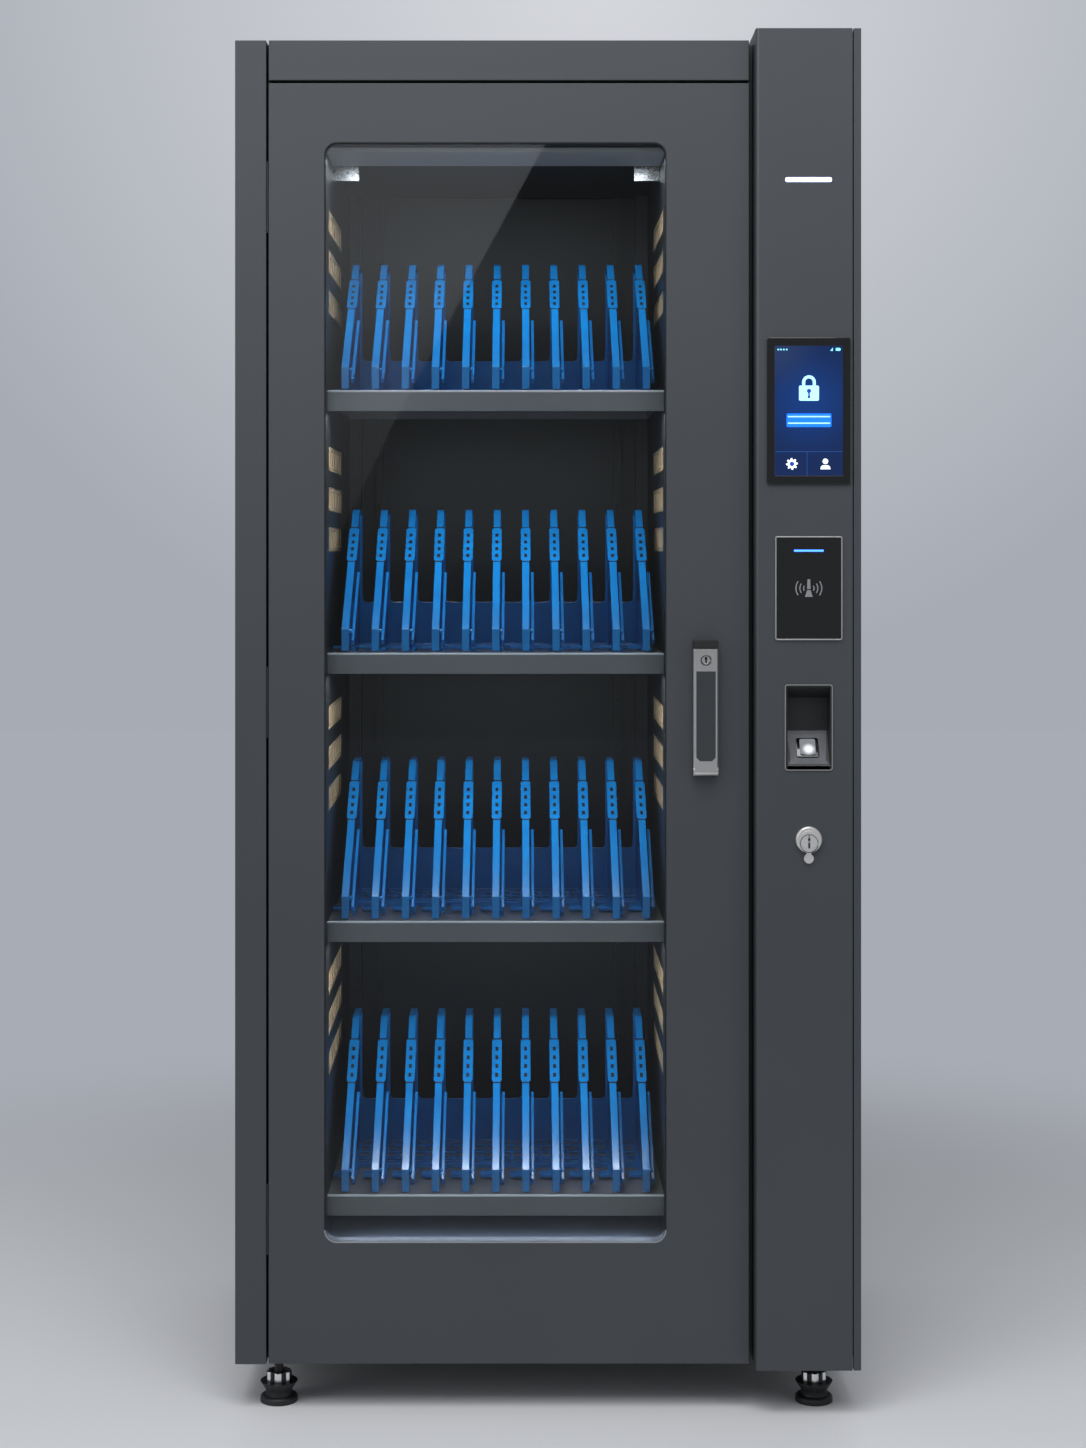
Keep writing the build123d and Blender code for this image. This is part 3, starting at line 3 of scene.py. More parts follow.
import bmesh
import bpy
from mathutils import Matrix, Vector
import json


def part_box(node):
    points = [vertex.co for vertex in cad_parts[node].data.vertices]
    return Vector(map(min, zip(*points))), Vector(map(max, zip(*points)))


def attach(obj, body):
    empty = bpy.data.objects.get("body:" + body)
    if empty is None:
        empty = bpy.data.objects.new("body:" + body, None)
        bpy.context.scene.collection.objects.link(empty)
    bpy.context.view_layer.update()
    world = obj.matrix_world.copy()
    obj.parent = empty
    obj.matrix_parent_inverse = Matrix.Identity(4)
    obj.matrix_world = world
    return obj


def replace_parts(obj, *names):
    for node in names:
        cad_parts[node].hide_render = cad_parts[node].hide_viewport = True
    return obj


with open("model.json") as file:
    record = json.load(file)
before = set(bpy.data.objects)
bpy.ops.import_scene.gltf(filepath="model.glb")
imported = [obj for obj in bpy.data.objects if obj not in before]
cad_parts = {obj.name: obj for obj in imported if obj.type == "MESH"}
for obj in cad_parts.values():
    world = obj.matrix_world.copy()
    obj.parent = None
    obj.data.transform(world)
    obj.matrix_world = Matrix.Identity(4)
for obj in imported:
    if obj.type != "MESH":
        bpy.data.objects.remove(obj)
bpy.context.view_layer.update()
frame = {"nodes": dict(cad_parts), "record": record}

# Lengths are in metres, in the cabinet's own frame
MM = 0.001


def tone(code):
    """An sRGB hex colour as linear RGBA."""
    values = [int(code[i:i + 2], 16) / 255 for i in (1, 3, 5)]
    return tuple(v / 12.92 if v <= 0.04045 else ((v + 0.055) / 1.055) ** 2.4 for v in values) + (1.0,)


def add(tree, kind, inputs=None, links=None, **settings):
    """Adds one node with its settings, its values and what feeds it."""
    node = tree.nodes.new(kind)
    for key, value in settings.items():
        setattr(node, key, value)
    for key, value in (inputs or {}).items():
        node.inputs[key].default_value = value
    for key, source in (links or {}).items():
        tree.links.new(source, node.inputs[key])
    return node


def start(name):
    """A new material with its shader, its output and the piece's own coordinates."""
    material = bpy.data.materials.new(name)
    material.use_nodes = True
    tree = material.node_tree
    tree.nodes.clear()
    shader = add(tree, "ShaderNodeBsdfPrincipled")
    add(tree, "ShaderNodeOutputMaterial", links={"Surface": shader.outputs["BSDF"]})
    place = add(tree, "ShaderNodeTexCoord").outputs["Object"]
    return material, tree, shader, place


def surface(name, dark, light, rough, grain_mm, bump_mm, metal=0.0, spread=0.06, cloud_mm=180, coat=0.0,
            stretch=(1, 1, 1)):
    """A finish whose colour drifts in soft clouds, with a fine grain in its gloss and relief."""
    material, tree, shader, place = start(name)
    shader.inputs["Metallic"].default_value = metal
    shader.inputs["Coat Weight"].default_value = coat
    cloud = add(tree, "ShaderNodeTexNoise", {"Scale": 1000 / cloud_mm, "Detail": 3, "Roughness": 0.55},
                {"Vector": place})

    ramp = add(tree, "ShaderNodeValToRGB", links={"Fac": cloud.outputs["Fac"]})
    ramp.color_ramp.elements[0].position = 0.3
    ramp.color_ramp.elements[0].color = tone(dark)
    ramp.color_ramp.elements[1].position = 0.7
    ramp.color_ramp.elements[1].color = tone(light)
    tree.links.new(ramp.outputs["Color"], shader.inputs["Base Color"])
    drawn = add(tree, "ShaderNodeMapping", {"Scale": stretch}, {"Vector": place})
    grain = add(tree, "ShaderNodeTexNoise", {"Scale": 1000 / grain_mm, "Detail": 2},
                {"Vector": drawn.outputs["Vector"]})
    gloss = add(tree, "ShaderNodeMapRange", {"To Min": rough - spread, "To Max": rough + spread},
                {"Value": grain.outputs["Fac"]})
    tree.links.new(gloss.outputs["Result"], shader.inputs["Roughness"])
    relief = add(tree, "ShaderNodeBump", {"Strength": 1.0, "Distance": bump_mm * MM},
                 {"Height": grain.outputs["Fac"]})
    tree.links.new(relief.outputs["Normal"], shader.inputs["Normal"])
    return material


def lit(name, code, strength, edge=None):
    """A lit mark or lens: frosted plastic that gives off its own light, a little cloudy."""
    material, tree, shader, place = start(name)
    shader.inputs["Base Color"].default_value = tone(code)
    shader.inputs["Emission Color"].default_value = tone(edge or code)
    cloud = add(tree, "ShaderNodeTexNoise", {"Scale": 1000 / LENS_CLOUD, "Detail": 2}, {"Vector": place})
    frost = add(tree, "ShaderNodeMapRange", {"To Min": 0.34, "To Max": 0.46}, {"Value": cloud.outputs["Fac"]})
    glow = add(tree, "ShaderNodeMapRange", {"To Min": strength * 0.92, "To Max": strength * 1.08},
               {"Value": cloud.outputs["Fac"]})
    tree.links.new(frost.outputs["Result"], shader.inputs["Roughness"])
    tree.links.new(glow.outputs["Result"], shader.inputs["Emission Strength"])
    return material


# The frost in a lens clouds over about this many millimetres
LENS_CLOUD = 25
# Fine-textured polyester powder coat baked on sheet steel: a soft sheen with a faint orange peel
outer_paint = surface("powder_coat_anthracite", "#383c40", "#3c4044", 0.5, 1.6, 0.02, cloud_mm=420)
# The same coat inside, a little smoother, and painted darker for the shade inside the closed cabinet
inner_paint = surface("powder_coat_graphite_painted_shade", "#191b1e", "#1e2124", 0.45, 1.8, 0.015, cloud_mm=300)
# Smooth semi-gloss stoving enamel on the shelves, which mirrors the dividers softly; painted far paler than
# the interior coat for the light that falls on their front lips
shelf_paint_painted_lit = surface("shelf_enamel_painted_lit", "#7b797a", "#838182", 0.3, 2.5, 0.01, cloud_mm=260, coat=0.25)
# A painted highlight along each shelf's front edge: a nearly white strip for the light that the bent edge
# catches
painted_edge_highlight = surface("painted_edge_highlight_strip", "#dcdee1", "#e6e8ea", 0.25, 3.0, 0.004, spread=0.03,
                    stretch=(0.05, 1, 1))
# Pale satin enamel of the floor plate, which the lamps under the lowest shelf light
floor_paint = surface("floor_enamel_grey", "#70757d", "#7a7f87", 0.32, 2.5, 0.01, cloud_mm=200, coat=0.2)
# Satin stoving enamel on the welded base
base_paint = surface("stoving_enamel_black", "#0c0d0e", "#121314", 0.45, 2.0, 0.02)
# Rolled satin stainless sheet: fine lines from side to side blur what it mirrors
satin_steel = surface("satin_stainless", "#9aa0a8", "#a9aeb5", 0.33, 1.2, 0.01, metal=1.0,
                      stretch=(0.05, 1, 1))
# Bright zinc plating on pressed steel
zinc_steel = surface("zinc_plate", "#a8aaad", "#bcbdbf", 0.28, 3.0, 0.02, metal=1.0, cloud_mm=20)
# Die-cast zinc with a satin nickel finish, brushed along its length
handle_metal = surface("satin_nickel", "#b9b8b6", "#c6c5c2", 0.38, 0.9, 0.01, metal=1.0, stretch=(1, 1, 0.05))
# Die-cast zinc with a pale satin chrome, on the key lock
plug_metal = surface("satin_chrome", "#e2dfdc", "#eceae7", 0.42, 0.9, 0.006, metal=1.0)
# Polished chrome plate
chrome_metal = surface("chrome_plate", "#cfd0d2", "#dadbdc", 0.22, 4.0, 0.003, metal=1.0, spread=0.03)
# Injection-moulded ABS in a clear strong blue with a glossy face
blue_plastic = surface("gloss_abs_blue", "#0e80cc", "#148cda", 0.24, 2.5, 0.012, spread=0.05, cloud_mm=60,
                       coat=0.15)
# Matt beige polycarbonate of the outlets
outlet_plastic = surface("outlet_beige", "#b39a78", "#c4ab88", 0.6, 1.5, 0.03, cloud_mm=40)
# Spark-eroded black ABS: small matt grains. The same black also paints the shade in the outlets' slots and
# the dividers' clip holes
black_plastic = surface("black_abs", "#101113", "#17181a", 0.5, 0.8, 0.03)
# Satin grey insert of the handle; the same grey also paints the shade in the key locks' keyways, the groove
# round the plug and the lug screw
dark_inlay = surface("inlay_grey", "#2b2e31", "#313437", 0.42, 0.7, 0.015)
# Black glass-like acrylic
black_gloss = surface("black_acrylic", "#050608", "#07080b", 0.1, 6.0, 0.001, spread=0.02, coat=0.5)
# Injection-moulded charcoal polycarbonate with a satin face, in the fingerprint recess: painted pale grey on
# the sloping floor for the light that falls on it, while the housing keeps its black
recess_floor_painted_lit = surface("satin_polycarbonate_painted_lit", "#6d7177", "#777b81", 0.38, 0.9, 0.012, cloud_mm=30)
# Vulcanised EPDM rubber
seal_rubber = surface("epdm_rubber", "#08090a", "#0c0d0e", 0.7, 1.0, 0.04)
light_lens = lit("frosted_lens", "#dfe6ff", 5.0, "#bccbff")
ceiling_lens = lit("frosted_diffuser", "#94918f", 0.04, "#eeecec")


def clear_glass():
    """Toughened float glass. Its IOR is below real glass, set so that the bays look as dark as they do."""
    material, tree, shader, place = start("toughened_glass")
    tree.nodes.remove(shader)
    out = [n for n in tree.nodes if n.bl_idname == "ShaderNodeOutputMaterial"][0]
    wave = add(tree, "ShaderNodeTexNoise", {"Scale": 1000 / PANE_WAVE, "Detail": 1}, {"Vector": place})
    tint = add(tree, "ShaderNodeMix", {6: tone("#ebf0f1"), 7: tone("#f1f5f6")}, {0: wave.outputs["Fac"]},
               data_type="RGBA")
    haze = add(tree, "ShaderNodeMapRange", {"To Min": 0.012, "To Max": 0.02}, {"Value": wave.outputs["Fac"]})
    through = add(tree, "ShaderNodeBsdfTransparent", links={"Color": tint.outputs[2]})
    mirror = add(tree, "ShaderNodeBsdfGlossy", {"Color": tone("#ffffff")},
                 {"Roughness": haze.outputs["Result"]})
    slant = add(tree, "ShaderNodeFresnel", {"IOR": 1.25})
    mix = add(tree, "ShaderNodeMixShader",
              links={0: slant.outputs["Fac"], 1: through.outputs[0], 2: mirror.outputs[0]})
    tree.links.new(mix.outputs[0], out.inputs["Surface"])
    return material


# Float glass waves over about this many millimetres
PANE_WAVE = 180
pane_glass = clear_glass()

FINISHES = {
    "outer_paint": outer_paint, "inner_paint": inner_paint, "base_paint": base_paint,
    "satin_steel": satin_steel,
    "zinc_steel": zinc_steel, "handle_metal": handle_metal, "chrome_metal": chrome_metal,
    "blue_plastic": blue_plastic, "outlet_plastic": outlet_plastic, "black_plastic": black_plastic,
    "dark_inlay": dark_inlay, "black_gloss": black_gloss, "display_glass": black_gloss,
    "sensor_glass": black_gloss, "light_lens": light_lens, "pane_glass": pane_glass,
    "seal_rubber": seal_rubber, "grille_steel": base_paint, "foot_black": black_plastic,
}
for part in frame["record"]["subparts"]:
    node = frame["nodes"][part["node"]]
    node.data.materials.clear()
    node.data.materials.append(FINISHES[part["material_slot"]])
FINISH = {part["node"]: FINISHES[part["material_slot"]] for part in frame["record"]["subparts"]}
FINISH["ceiling_light"] = ceiling_lens
FINISH["shelves"] = shelf_paint_painted_lit
FINISH["fingerprint_housing"] = black_plastic
FINISH["handle_key"] = handle_metal
FINISH["override_plug"] = plug_metal
FINISH["override_lock"] = plug_metal
# Painted highlight: the reader's rim gets the pale satin nickel for the light line along its edge
FINISH["reader_rim"] = handle_metal
OWN_FINISH = {"interior_floor": floor_paint, "hinge_frame_leaves": base_paint,
              "hinge_door_leaves": base_paint}
for node, finish in OWN_FINISH.items():
    frame["nodes"][node].data.materials[0] = finish
BODY = {node: body for body, nodes in frame["record"]["behaviour"]["bodies"].items() for node in nodes}


def piece(name, mesh, finish, body):
    """Closes a bmesh into a finished object that moves with a body."""
    bmesh.ops.recalc_face_normals(mesh, faces=mesh.faces)
    data = bpy.data.meshes.new(name)
    mesh.to_mesh(data)
    mesh.free()
    data.materials.append(finish)
    made = bpy.data.objects.new(name, data)
    bpy.context.scene.collection.objects.link(made)
    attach(made, body)
    return made


def round_edges(mesh, width_mm, segments=2, sharp=35):
    """Rounds every edge that turns by more than the given degrees."""
    edges = [e for e in mesh.edges if e.is_manifold and e.calc_face_angle(0) > math.radians(sharp)]
    bmesh.ops.bevel(mesh, geom=edges, offset=width_mm * MM, offset_type="OFFSET", segments=segments,
                    profile=0.5, affect="EDGES", clamp_overlap=True, material=-1)


def finished(node, width_mm):
    """The node again with its edges broken, as pressed, moulded and coated pieces have them."""
    mesh = bmesh.new()
    mesh.from_mesh(frame["nodes"][node].data)
    bmesh.ops.remove_doubles(mesh, verts=mesh.verts, dist=2e-6)
    bmesh.ops.dissolve_limit(mesh, angle_limit=math.radians(0.5), verts=mesh.verts, edges=mesh.edges)
    round_edges(mesh, width_mm)
    made = piece(node + "_finished", mesh, FINISH[node], BODY[node])
    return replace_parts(made, node)


# How far the edges of each piece are rounded, in millimetres
EDGE_WIDTHS = {
    0.9: ["door_skin", "left_side_panel", "header_fascia", "column_front", "column_shell", "override_lock"],
    0.6: ["shelves", "screen_bezel", "handle_lever", "handle_plate", "fingerprint_housing", "override_plug",
          "handle_key", "ceiling_light", "dividers_1", "dividers_2", "dividers_3", "dividers_4",
          "foot_1", "foot_2", "foot_3", "foot_4", "corner_brackets", "mains_rocker", "mains_inlet",
          "fan_housing"],
    0.3: ["reader_rim", "reader_body", "handle_inlay", "door_glass", "fingerprint_sensor", "status_light"],
}
for width, nodes in EDGE_WIDTHS.items():
    for node in nodes:
        finished(node, width)


def prism(mesh, outline, y0, y1):
    """A flat shape, given as X, Z points, drawn out from y0 to y1."""
    face = mesh.faces.new([mesh.verts.new((x, y0, z)) for x, z in outline])
    made = bmesh.ops.extrude_face_region(mesh, geom=[face])["geom"]
    moved = [v for v in made if isinstance(v, bmesh.types.BMVert)]
    bmesh.ops.translate(mesh, verts=moved, vec=(0, y1 - y0, 0))


def rounded(x, z, wide, tall, radius, steps=5):
    """The outline of a rectangle with round corners about a middle."""
    points = []
    for sx, sz, first in ((1, 1, 0), (-1, 1, 90), (-1, -1, 180), (1, -1, 270)):
        for k in range(steps + 1):
            a = math.radians(first + 90 * k / steps)
            points.append((x + sx * (wide / 2 - radius) + radius * math.cos(a),
                           z + sz * (tall / 2 - radius) + radius * math.sin(a)))
    return points


def ring_arc(x, z, radius, stroke, first, last, steps=24):
    """The outline of part of a ring, its angles in degrees from the right."""
    angles = [math.radians(first + (last - first) * k / steps) for k in range(steps + 1)]
    wide, narrow = radius + stroke / 2, radius - stroke / 2
    outer = [(x + wide * math.cos(a), z + wide * math.sin(a)) for a in angles]
    inner = [(x + narrow * math.cos(a), z + narrow * math.sin(a)) for a in angles]
    return outer + inner[::-1]


def disc(x, z, radius, steps=24):
    """The outline of a disc."""
    return ring_arc(x, z, radius / 2, radius, 0, 360 * (steps - 1) / steps, steps - 1)[:steps]


def shown(name, outlines, front, depth_mm, finish, body):
    """A printed or lit mark: flat shapes in millimetres about the middle of what carries them."""
    node, marks = outlines
    low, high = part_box(node)
    x0, z0 = (low.x + high.x) / 2, (low.z + high.z) / 2
    mesh = bmesh.new()
    for mark in marks:
        prism(mesh, [(x0 + x * MM, z0 + z * MM) for x, z in mark], front - depth_mm * MM, front + 0.1 * MM)
    return piece(name, mesh, finish, body)


def bar(mesh, x0, x1, y0, y1, z0, z1):
    """An upright rectangle, drawn out along Y."""
    prism(mesh, [(x0, z0), (x1, z0), (x1, z1), (x0, z1)], y0, y1)


SHELF_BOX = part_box("shelves")
SHELF_NODE_TOPS = [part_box("dividers_" + str(k))[0].z for k in (1, 2, 3, 4)]
RACK_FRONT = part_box("dividers_1")[0].y
RACK_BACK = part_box("dividers_1")[1].y
RACK_LOW_X, RACK_HIGH_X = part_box("dividers_1")[0].x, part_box("dividers_1")[1].x
FOOT_TALL = 30 * MM
RACK_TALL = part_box("dividers_1")[1].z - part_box("dividers_1")[0].z
TOP_LONG = 68 * MM
LEAN = RACK_BACK - RACK_FRONT - TOP_LONG
DIVIDER_COUNT = 11
RIM_WIDTH = 14 * MM
TRAY_THICK = 3 * MM
PITCH = (RACK_HIGH_X - RACK_LOW_X - RIM_WIDTH) / (DIVIDER_COUNT - 1)
DIVIDER_X = [RACK_LOW_X + RIM_WIDTH / 2 + PITCH * k for k in range(DIVIDER_COUNT)]


def rack_y(behind_mm):
    """The Y of a place so many millimetres behind the racks' front."""
    return RACK_FRONT + behind_mm * MM


# The tray's back wall: its posts and the foot of the notches between them, over the shelf
WALL_POSTS = 80 * MM
WALL_NOTCH = 64 * MM
# Where the tray's parts start and end, in millimetres behind the racks' front
CROSS_RAILS = [(138, 158), (184, 196), (222, 234), (260, 272), (290, 298.5)]
FINGERS = (92, 298.5)
TABS = (74, 96)
FORWARD_FINGERS = (48, 154)
SHORT_BARS = (138, 272)
RAISED_RAIL = (138, 154)
BACK_WALL = (295, 298)
HALF_RIM = RIM_WIDTH / 2
BETWEEN_X = [x + PITCH / 2 for x in DIVIDER_X[:-1]]


def tray(number, shelf_z):
    """The moulded grid under the dividers: fingers, cross rails with openings and a notched back wall."""
    mesh = bmesh.new()
    low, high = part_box("trays")

    def slat(x0, x1, reach, foot, head):
        """A bar of the grid, its foot and head in thicknesses of the tray over the shelf."""
        bar(mesh, x0, x1, rack_y(reach[0]), rack_y(reach[1]), shelf_z + foot * TRAY_THICK,
            shelf_z + head * TRAY_THICK)

    for x in BETWEEN_X:
        slat(x - PITCH / 2 + HALF_RIM, x + PITCH / 2 - HALF_RIM, RAISED_RAIL, 1, 2.2)
    for reach in CROSS_RAILS:
        slat(low.x, high.x, reach, 0, 1)
    for x in DIVIDER_X:
        slat(x - HALF_RIM, x + HALF_RIM, FINGERS, 0, 0.9)
        slat(x - 22 * MM, x - 4 * MM, TABS, 1, 2.4)
        slat(x + 6.5 * MM, x + 11 * MM, FORWARD_FINGERS, 0, 2)
    for x in BETWEEN_X:
        slat(x - 3 * MM, x + 3 * MM, SHORT_BARS, 0, 0.8)
    wall = [(low.x, shelf_z), (high.x, shelf_z)]
    top, foot, half, soft = shelf_z + WALL_POSTS, shelf_z + WALL_NOTCH, PITCH * 0.37, 5 * MM
    near = soft * 0.3
    for x in reversed(BETWEEN_X):
        wall += [(x + half, top), (x + half, foot + soft), (x + half - near, foot + near),
                 (x + half - soft, foot), (x - half + soft, foot), (x - half + near, foot + near),
                 (x - half, foot + soft), (x - half, top)]
    wall = wall[:2] + [(high.x, top)] + wall[2:] + [(low.x, top)]
    prism(mesh, wall, rack_y(BACK_WALL[0]), rack_y(BACK_WALL[1]))
    round_edges(mesh, 0.5)
    return piece("tray_grid_" + str(number), mesh, blue_plastic, "cabinet")


def on_rim(share, out=0.0):
    """A place on the front rim, a share of the way up it and out by a little: its Y and its height."""
    run, rise = LEAN, RACK_TALL - FOOT_TALL
    long = math.hypot(run, rise)
    return RACK_FRONT + run * share - out * rise / long, FOOT_TALL + rise * share + out * run / long


def tilted_block(mesh, x, half, share0, share1, shelf_z, out0, out1):
    """A small block that lies along the leaning rim, between two shares of its length."""
    ends = [[on_rim(share, out) for out in (out0, out1)] for share in (share0, share1)]
    rings = [[mesh.verts.new((x + dx, y, shelf_z + z)) for dx, (y, z) in
              ((-half, low), (half, low), (half, high), (-half, high))] for low, high in ends]
    foot, head = rings
    mesh.faces.new(foot[::-1])
    mesh.faces.new(head)
    for k in range(4):
        mesh.faces.new((foot[k], foot[(k + 1) % 4], head[(k + 1) % 4], head[k]))


# The clip on the leaning rim: its ends, its holes and its seams, as shares of the rim's length. The holes are
# black blocks of painted shade; the seams are dark joints
CLIP_FOOT, CLIP_HEAD = 0.55, 0.84
CLIP_HOLES, FIRST_HOLE, HOLE_STEP = 4, 0.60, 0.058
HALF_HOLE, HALF_SEAM = 0.013, 0.004
SUNK = -0.5 * MM
# The knuckle at each divider's foot, and the rib behind its rim: half its width, its depth and its end
KNUCKLE, KNUCKLE_ROUND = (7 * MM, rack_y(10), 27 * MM), 3 * MM
RIB_ASIDE, RIB_HALF, RIB_DEEP, RIB_HEAD = 9.5 * MM, 2.0 * MM, (-26 * MM, -19 * MM), 0.55


def divider_marks(number, shelf_z):
    """What is moulded beside each divider's rim: a second rib, a knuckle at its foot, the clip's dark seams,
    and black blocks in the clip's holes as painted shade.
    """
    mesh = bmesh.new()
    hole_shade_and_seams = bmesh.new()
    for x in DIVIDER_X:
        for k in range(CLIP_HOLES):
            middle = FIRST_HOLE + HOLE_STEP * k
            # Painted shade: a black block in each of the clip's holes
            tilted_block(hole_shade_and_seams, x, 2.1 * MM, middle - HALF_HOLE, middle + HALF_HOLE, shelf_z, SUNK, 0.3 * MM)
        for share in (CLIP_FOOT, CLIP_HEAD):
            tilted_block(hole_shade_and_seams, x, 5.2 * MM, share - HALF_SEAM, share + HALF_SEAM, shelf_z, SUNK, 0.2 * MM)
        knuckle = bmesh.ops.create_uvsphere(mesh, u_segments=10, v_segments=6, radius=KNUCKLE_ROUND)
        aside, y, above = KNUCKLE
        bmesh.ops.translate(mesh, verts=knuckle["verts"], vec=(x + aside, y, shelf_z + above))
        tilted_block(mesh, x + RIB_ASIDE, RIB_HALF, 0.0, RIB_HEAD, shelf_z, *RIB_DEEP)
    round_edges(mesh, 0.5, 1)
    piece("divider_ribs_" + str(number), mesh, blue_plastic, "cabinet")
    piece("clip_hole_shade_and_seams_" + str(number), hole_shade_and_seams, black_plastic, "cabinet")


for number, shelf_z in enumerate(SHELF_NODE_TOPS, 1):
    made = tray(number, shelf_z - TRAY_THICK)
    if number == 1:
        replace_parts(made, "trays")
    divider_marks(number, shelf_z)


def shelf_edge(number, shelf_z):
    """A nearly white rounded strip on the front edge of a shelf: a painted highlight where the bent edge
    catches the light.
    """
    mesh = bmesh.new()
    low, high = SHELF_BOX
    bar(mesh, low.x, high.x, low.y - 0.6 * MM, low.y + 2.4 * MM, shelf_z - 2.2 * MM, shelf_z + 0.7 * MM)
    round_edges(mesh, 0.8, 3)
    return piece("shelf_edge_highlight_" + str(number), mesh, painted_edge_highlight, "cabinet")


for number, shelf_z in enumerate(SHELF_NODE_TOPS, 1):
    shelf_edge(number, shelf_z - TRAY_THICK)


def lit_glass():
    """The touch screen: black glass over a lit panel that is a deep blue, with a painted sheen that makes its
    upper left paler.
    """
    material, tree, shader, place = start("lit_screen")
    shader.inputs["Base Color"].default_value = tone("#02040a")
    shader.inputs["Roughness"].default_value = 0.12
    low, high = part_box("screen_display")
    middle = (low + high) / 2
    sheen_corner = (low.x, low.y, high.z)
    spot = add(tree, "ShaderNodeVectorMath", {1: middle + Vector((0, 0, 0.012))}, {0: place},
               operation="DISTANCE")
    near = add(tree, "ShaderNodeMapRange", {"From Min": 0.0, "From Max": 0.085, "To Min": 1.0, "To Max": 0.0},
               {"Value": spot.outputs["Value"]}, interpolation_type="SMOOTHSTEP")
    glow = add(tree, "ShaderNodeMix", {6: tone("#06265a"), 7: tone("#043a86")}, {0: near.outputs["Result"]},
               data_type="RGBA")
    # Painted sheen: the glow turns a pale grey-blue towards the upper left corner
    away = add(tree, "ShaderNodeVectorMath", {1: sheen_corner}, {0: place}, operation="DISTANCE")
    haze = add(tree, "ShaderNodeMapRange", {"From Min": 0.0, "From Max": 0.07, "To Min": 0.6, "To Max": 0.0},
               {"Value": away.outputs["Value"]}, interpolation_type="SMOOTHSTEP")
    glow_and_sheen = add(tree, "ShaderNodeMix", {7: tone("#31446e")}, {0: haze.outputs["Result"], 6: glow.outputs[2]},
               data_type="RGBA")
    tree.links.new(glow_and_sheen.outputs[2], shader.inputs["Emission Color"])
    shader.inputs["Emission Strength"].default_value = 0.9
    return material


frame["nodes"]["screen_display"].data.materials[0] = lit_glass()
icon_pale = lit("icon_pale_blue", "#9fd4ff", 1.0)
icon_white = lit("icon_white", "#eef4ff", 1.0)
icon_cyan = lit("icon_cyan", "#7fdcff", 0.9)
icon_blue = lit("icon_bright_blue", "#0a6cff", 0.95)
icon_line = lit("icon_line_blue", "#0f3c78", 0.8)
icon_dark = lit("icon_dark_blue", "#0b3f94", 0.7)
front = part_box("screen_display")[0].y


def cog(x, z, radius, teeth, depth):
    """The outline of a cog wheel."""
    points = []
    for k in range(teeth):
        for share, r in ((0.0, radius - depth), (0.2, radius), (0.5, radius), (0.7, radius - depth)):
            a = 2 * math.pi * (k + share - 0.25) / teeth
            points.append((x + r * math.cos(a), z + r * math.sin(a)))
    return points


BODY_OF_SCREEN = BODY["screen_display"]
MARKS = [
    ("padlock", icon_pale, 0.2, [rounded(0, 23.6, 26.8, 20.4, 2), ring_arc(0, 38.3, 7.1, 4.1, 0, 180),
                                 rounded(-7.1, 35.6, 4.1, 6.4, 0.3), rounded(7.1, 35.6, 4.1, 6.4, 0.3)]),
    ("keyhole", icon_dark, 0.3, [disc(0, 26.6, 2.8), rounded(0, 21.8, 2.2, 8.5, 1), disc(0, 18.4, 1.7)]),
    ("entry_field", icon_blue, 0.2, [rounded(0, -12.7, 60, 18.2, 2)]),
    ("entry_lines", icon_pale, 0.3, [rounded(0, -7.8, 56.6, 1.7, 0.5), rounded(0, -16.6, 56.6, 1.7, 0.5)]),
    ("bottom_bar", icon_line, 0.2, [rounded(0, -54.7, 90, 0.8, 0.1), rounded(-2.6, -71, 0.8, 31.5, 0.1)]),
    ("cog_icon", icon_white, 0.2, [cog(-22.8, -71.1, 7.8, 8, 2.0)]),
    ("cog_hole", icon_dark, 0.3, [disc(-22.8, -71.1, 3.1)]),
    ("person_icon", icon_white, 0.2, [disc(22, -67.7, 3.7),
                                      [(15.2, -78.2), (28.8, -78.2), (28.2, -75.4), (26, -73),
                                       (18, -73), (15.8, -75.4)]]),
    ("signal_icons", icon_cyan, 0.2, [rounded(x, 82, 2.2, 2, 0.6) for x in (-41.2, -37.6, -33.7, -29.8)]
     + [[(28.2, 80.2), (32, 80.2), (32, 84.4)], rounded(39, 82.2, 6.4, 3.8, 1)]),
]
for name, finish, depth, marks in MARKS:
    shown(name, ("screen_display", marks), front, depth, finish, BODY_OF_SCREEN)

# The card reader's light and its printed sign
reader_light = lit("reader_led", "#2f5bff", 7.0, "#2a58ff")
sign_grey = surface("screen_printed_grey", "#7a7c7e", "#8b8d8f", 0.5, 0.8, 0.01)
READER_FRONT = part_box("reader_body")[0].y
waves = [ring_arc(way * 1.5, 0, r, 1.5, first - 36, first + 36)
         for r in (5.5, 10.5, 15.8) for way, first in ((-1, 180), (1, 0))]
mast = [[(-1.9, 12), (1.9, 12), (2.4, -1), (-2.4, -1)],
        [(-2.4, -2.6), (2.4, -2.6), (5.2, -11.6), (-5.2, -11.6)]]
shown("reader_sign", ("reader_body", waves + mast), READER_FRONT, 0.1, sign_grey, "cabinet")
shown("reader_light", ("reader_body", [rounded(0, 50.3, 40, 2.6, 1.2)]), READER_FRONT, 0.3, reader_light,
      "cabinet")


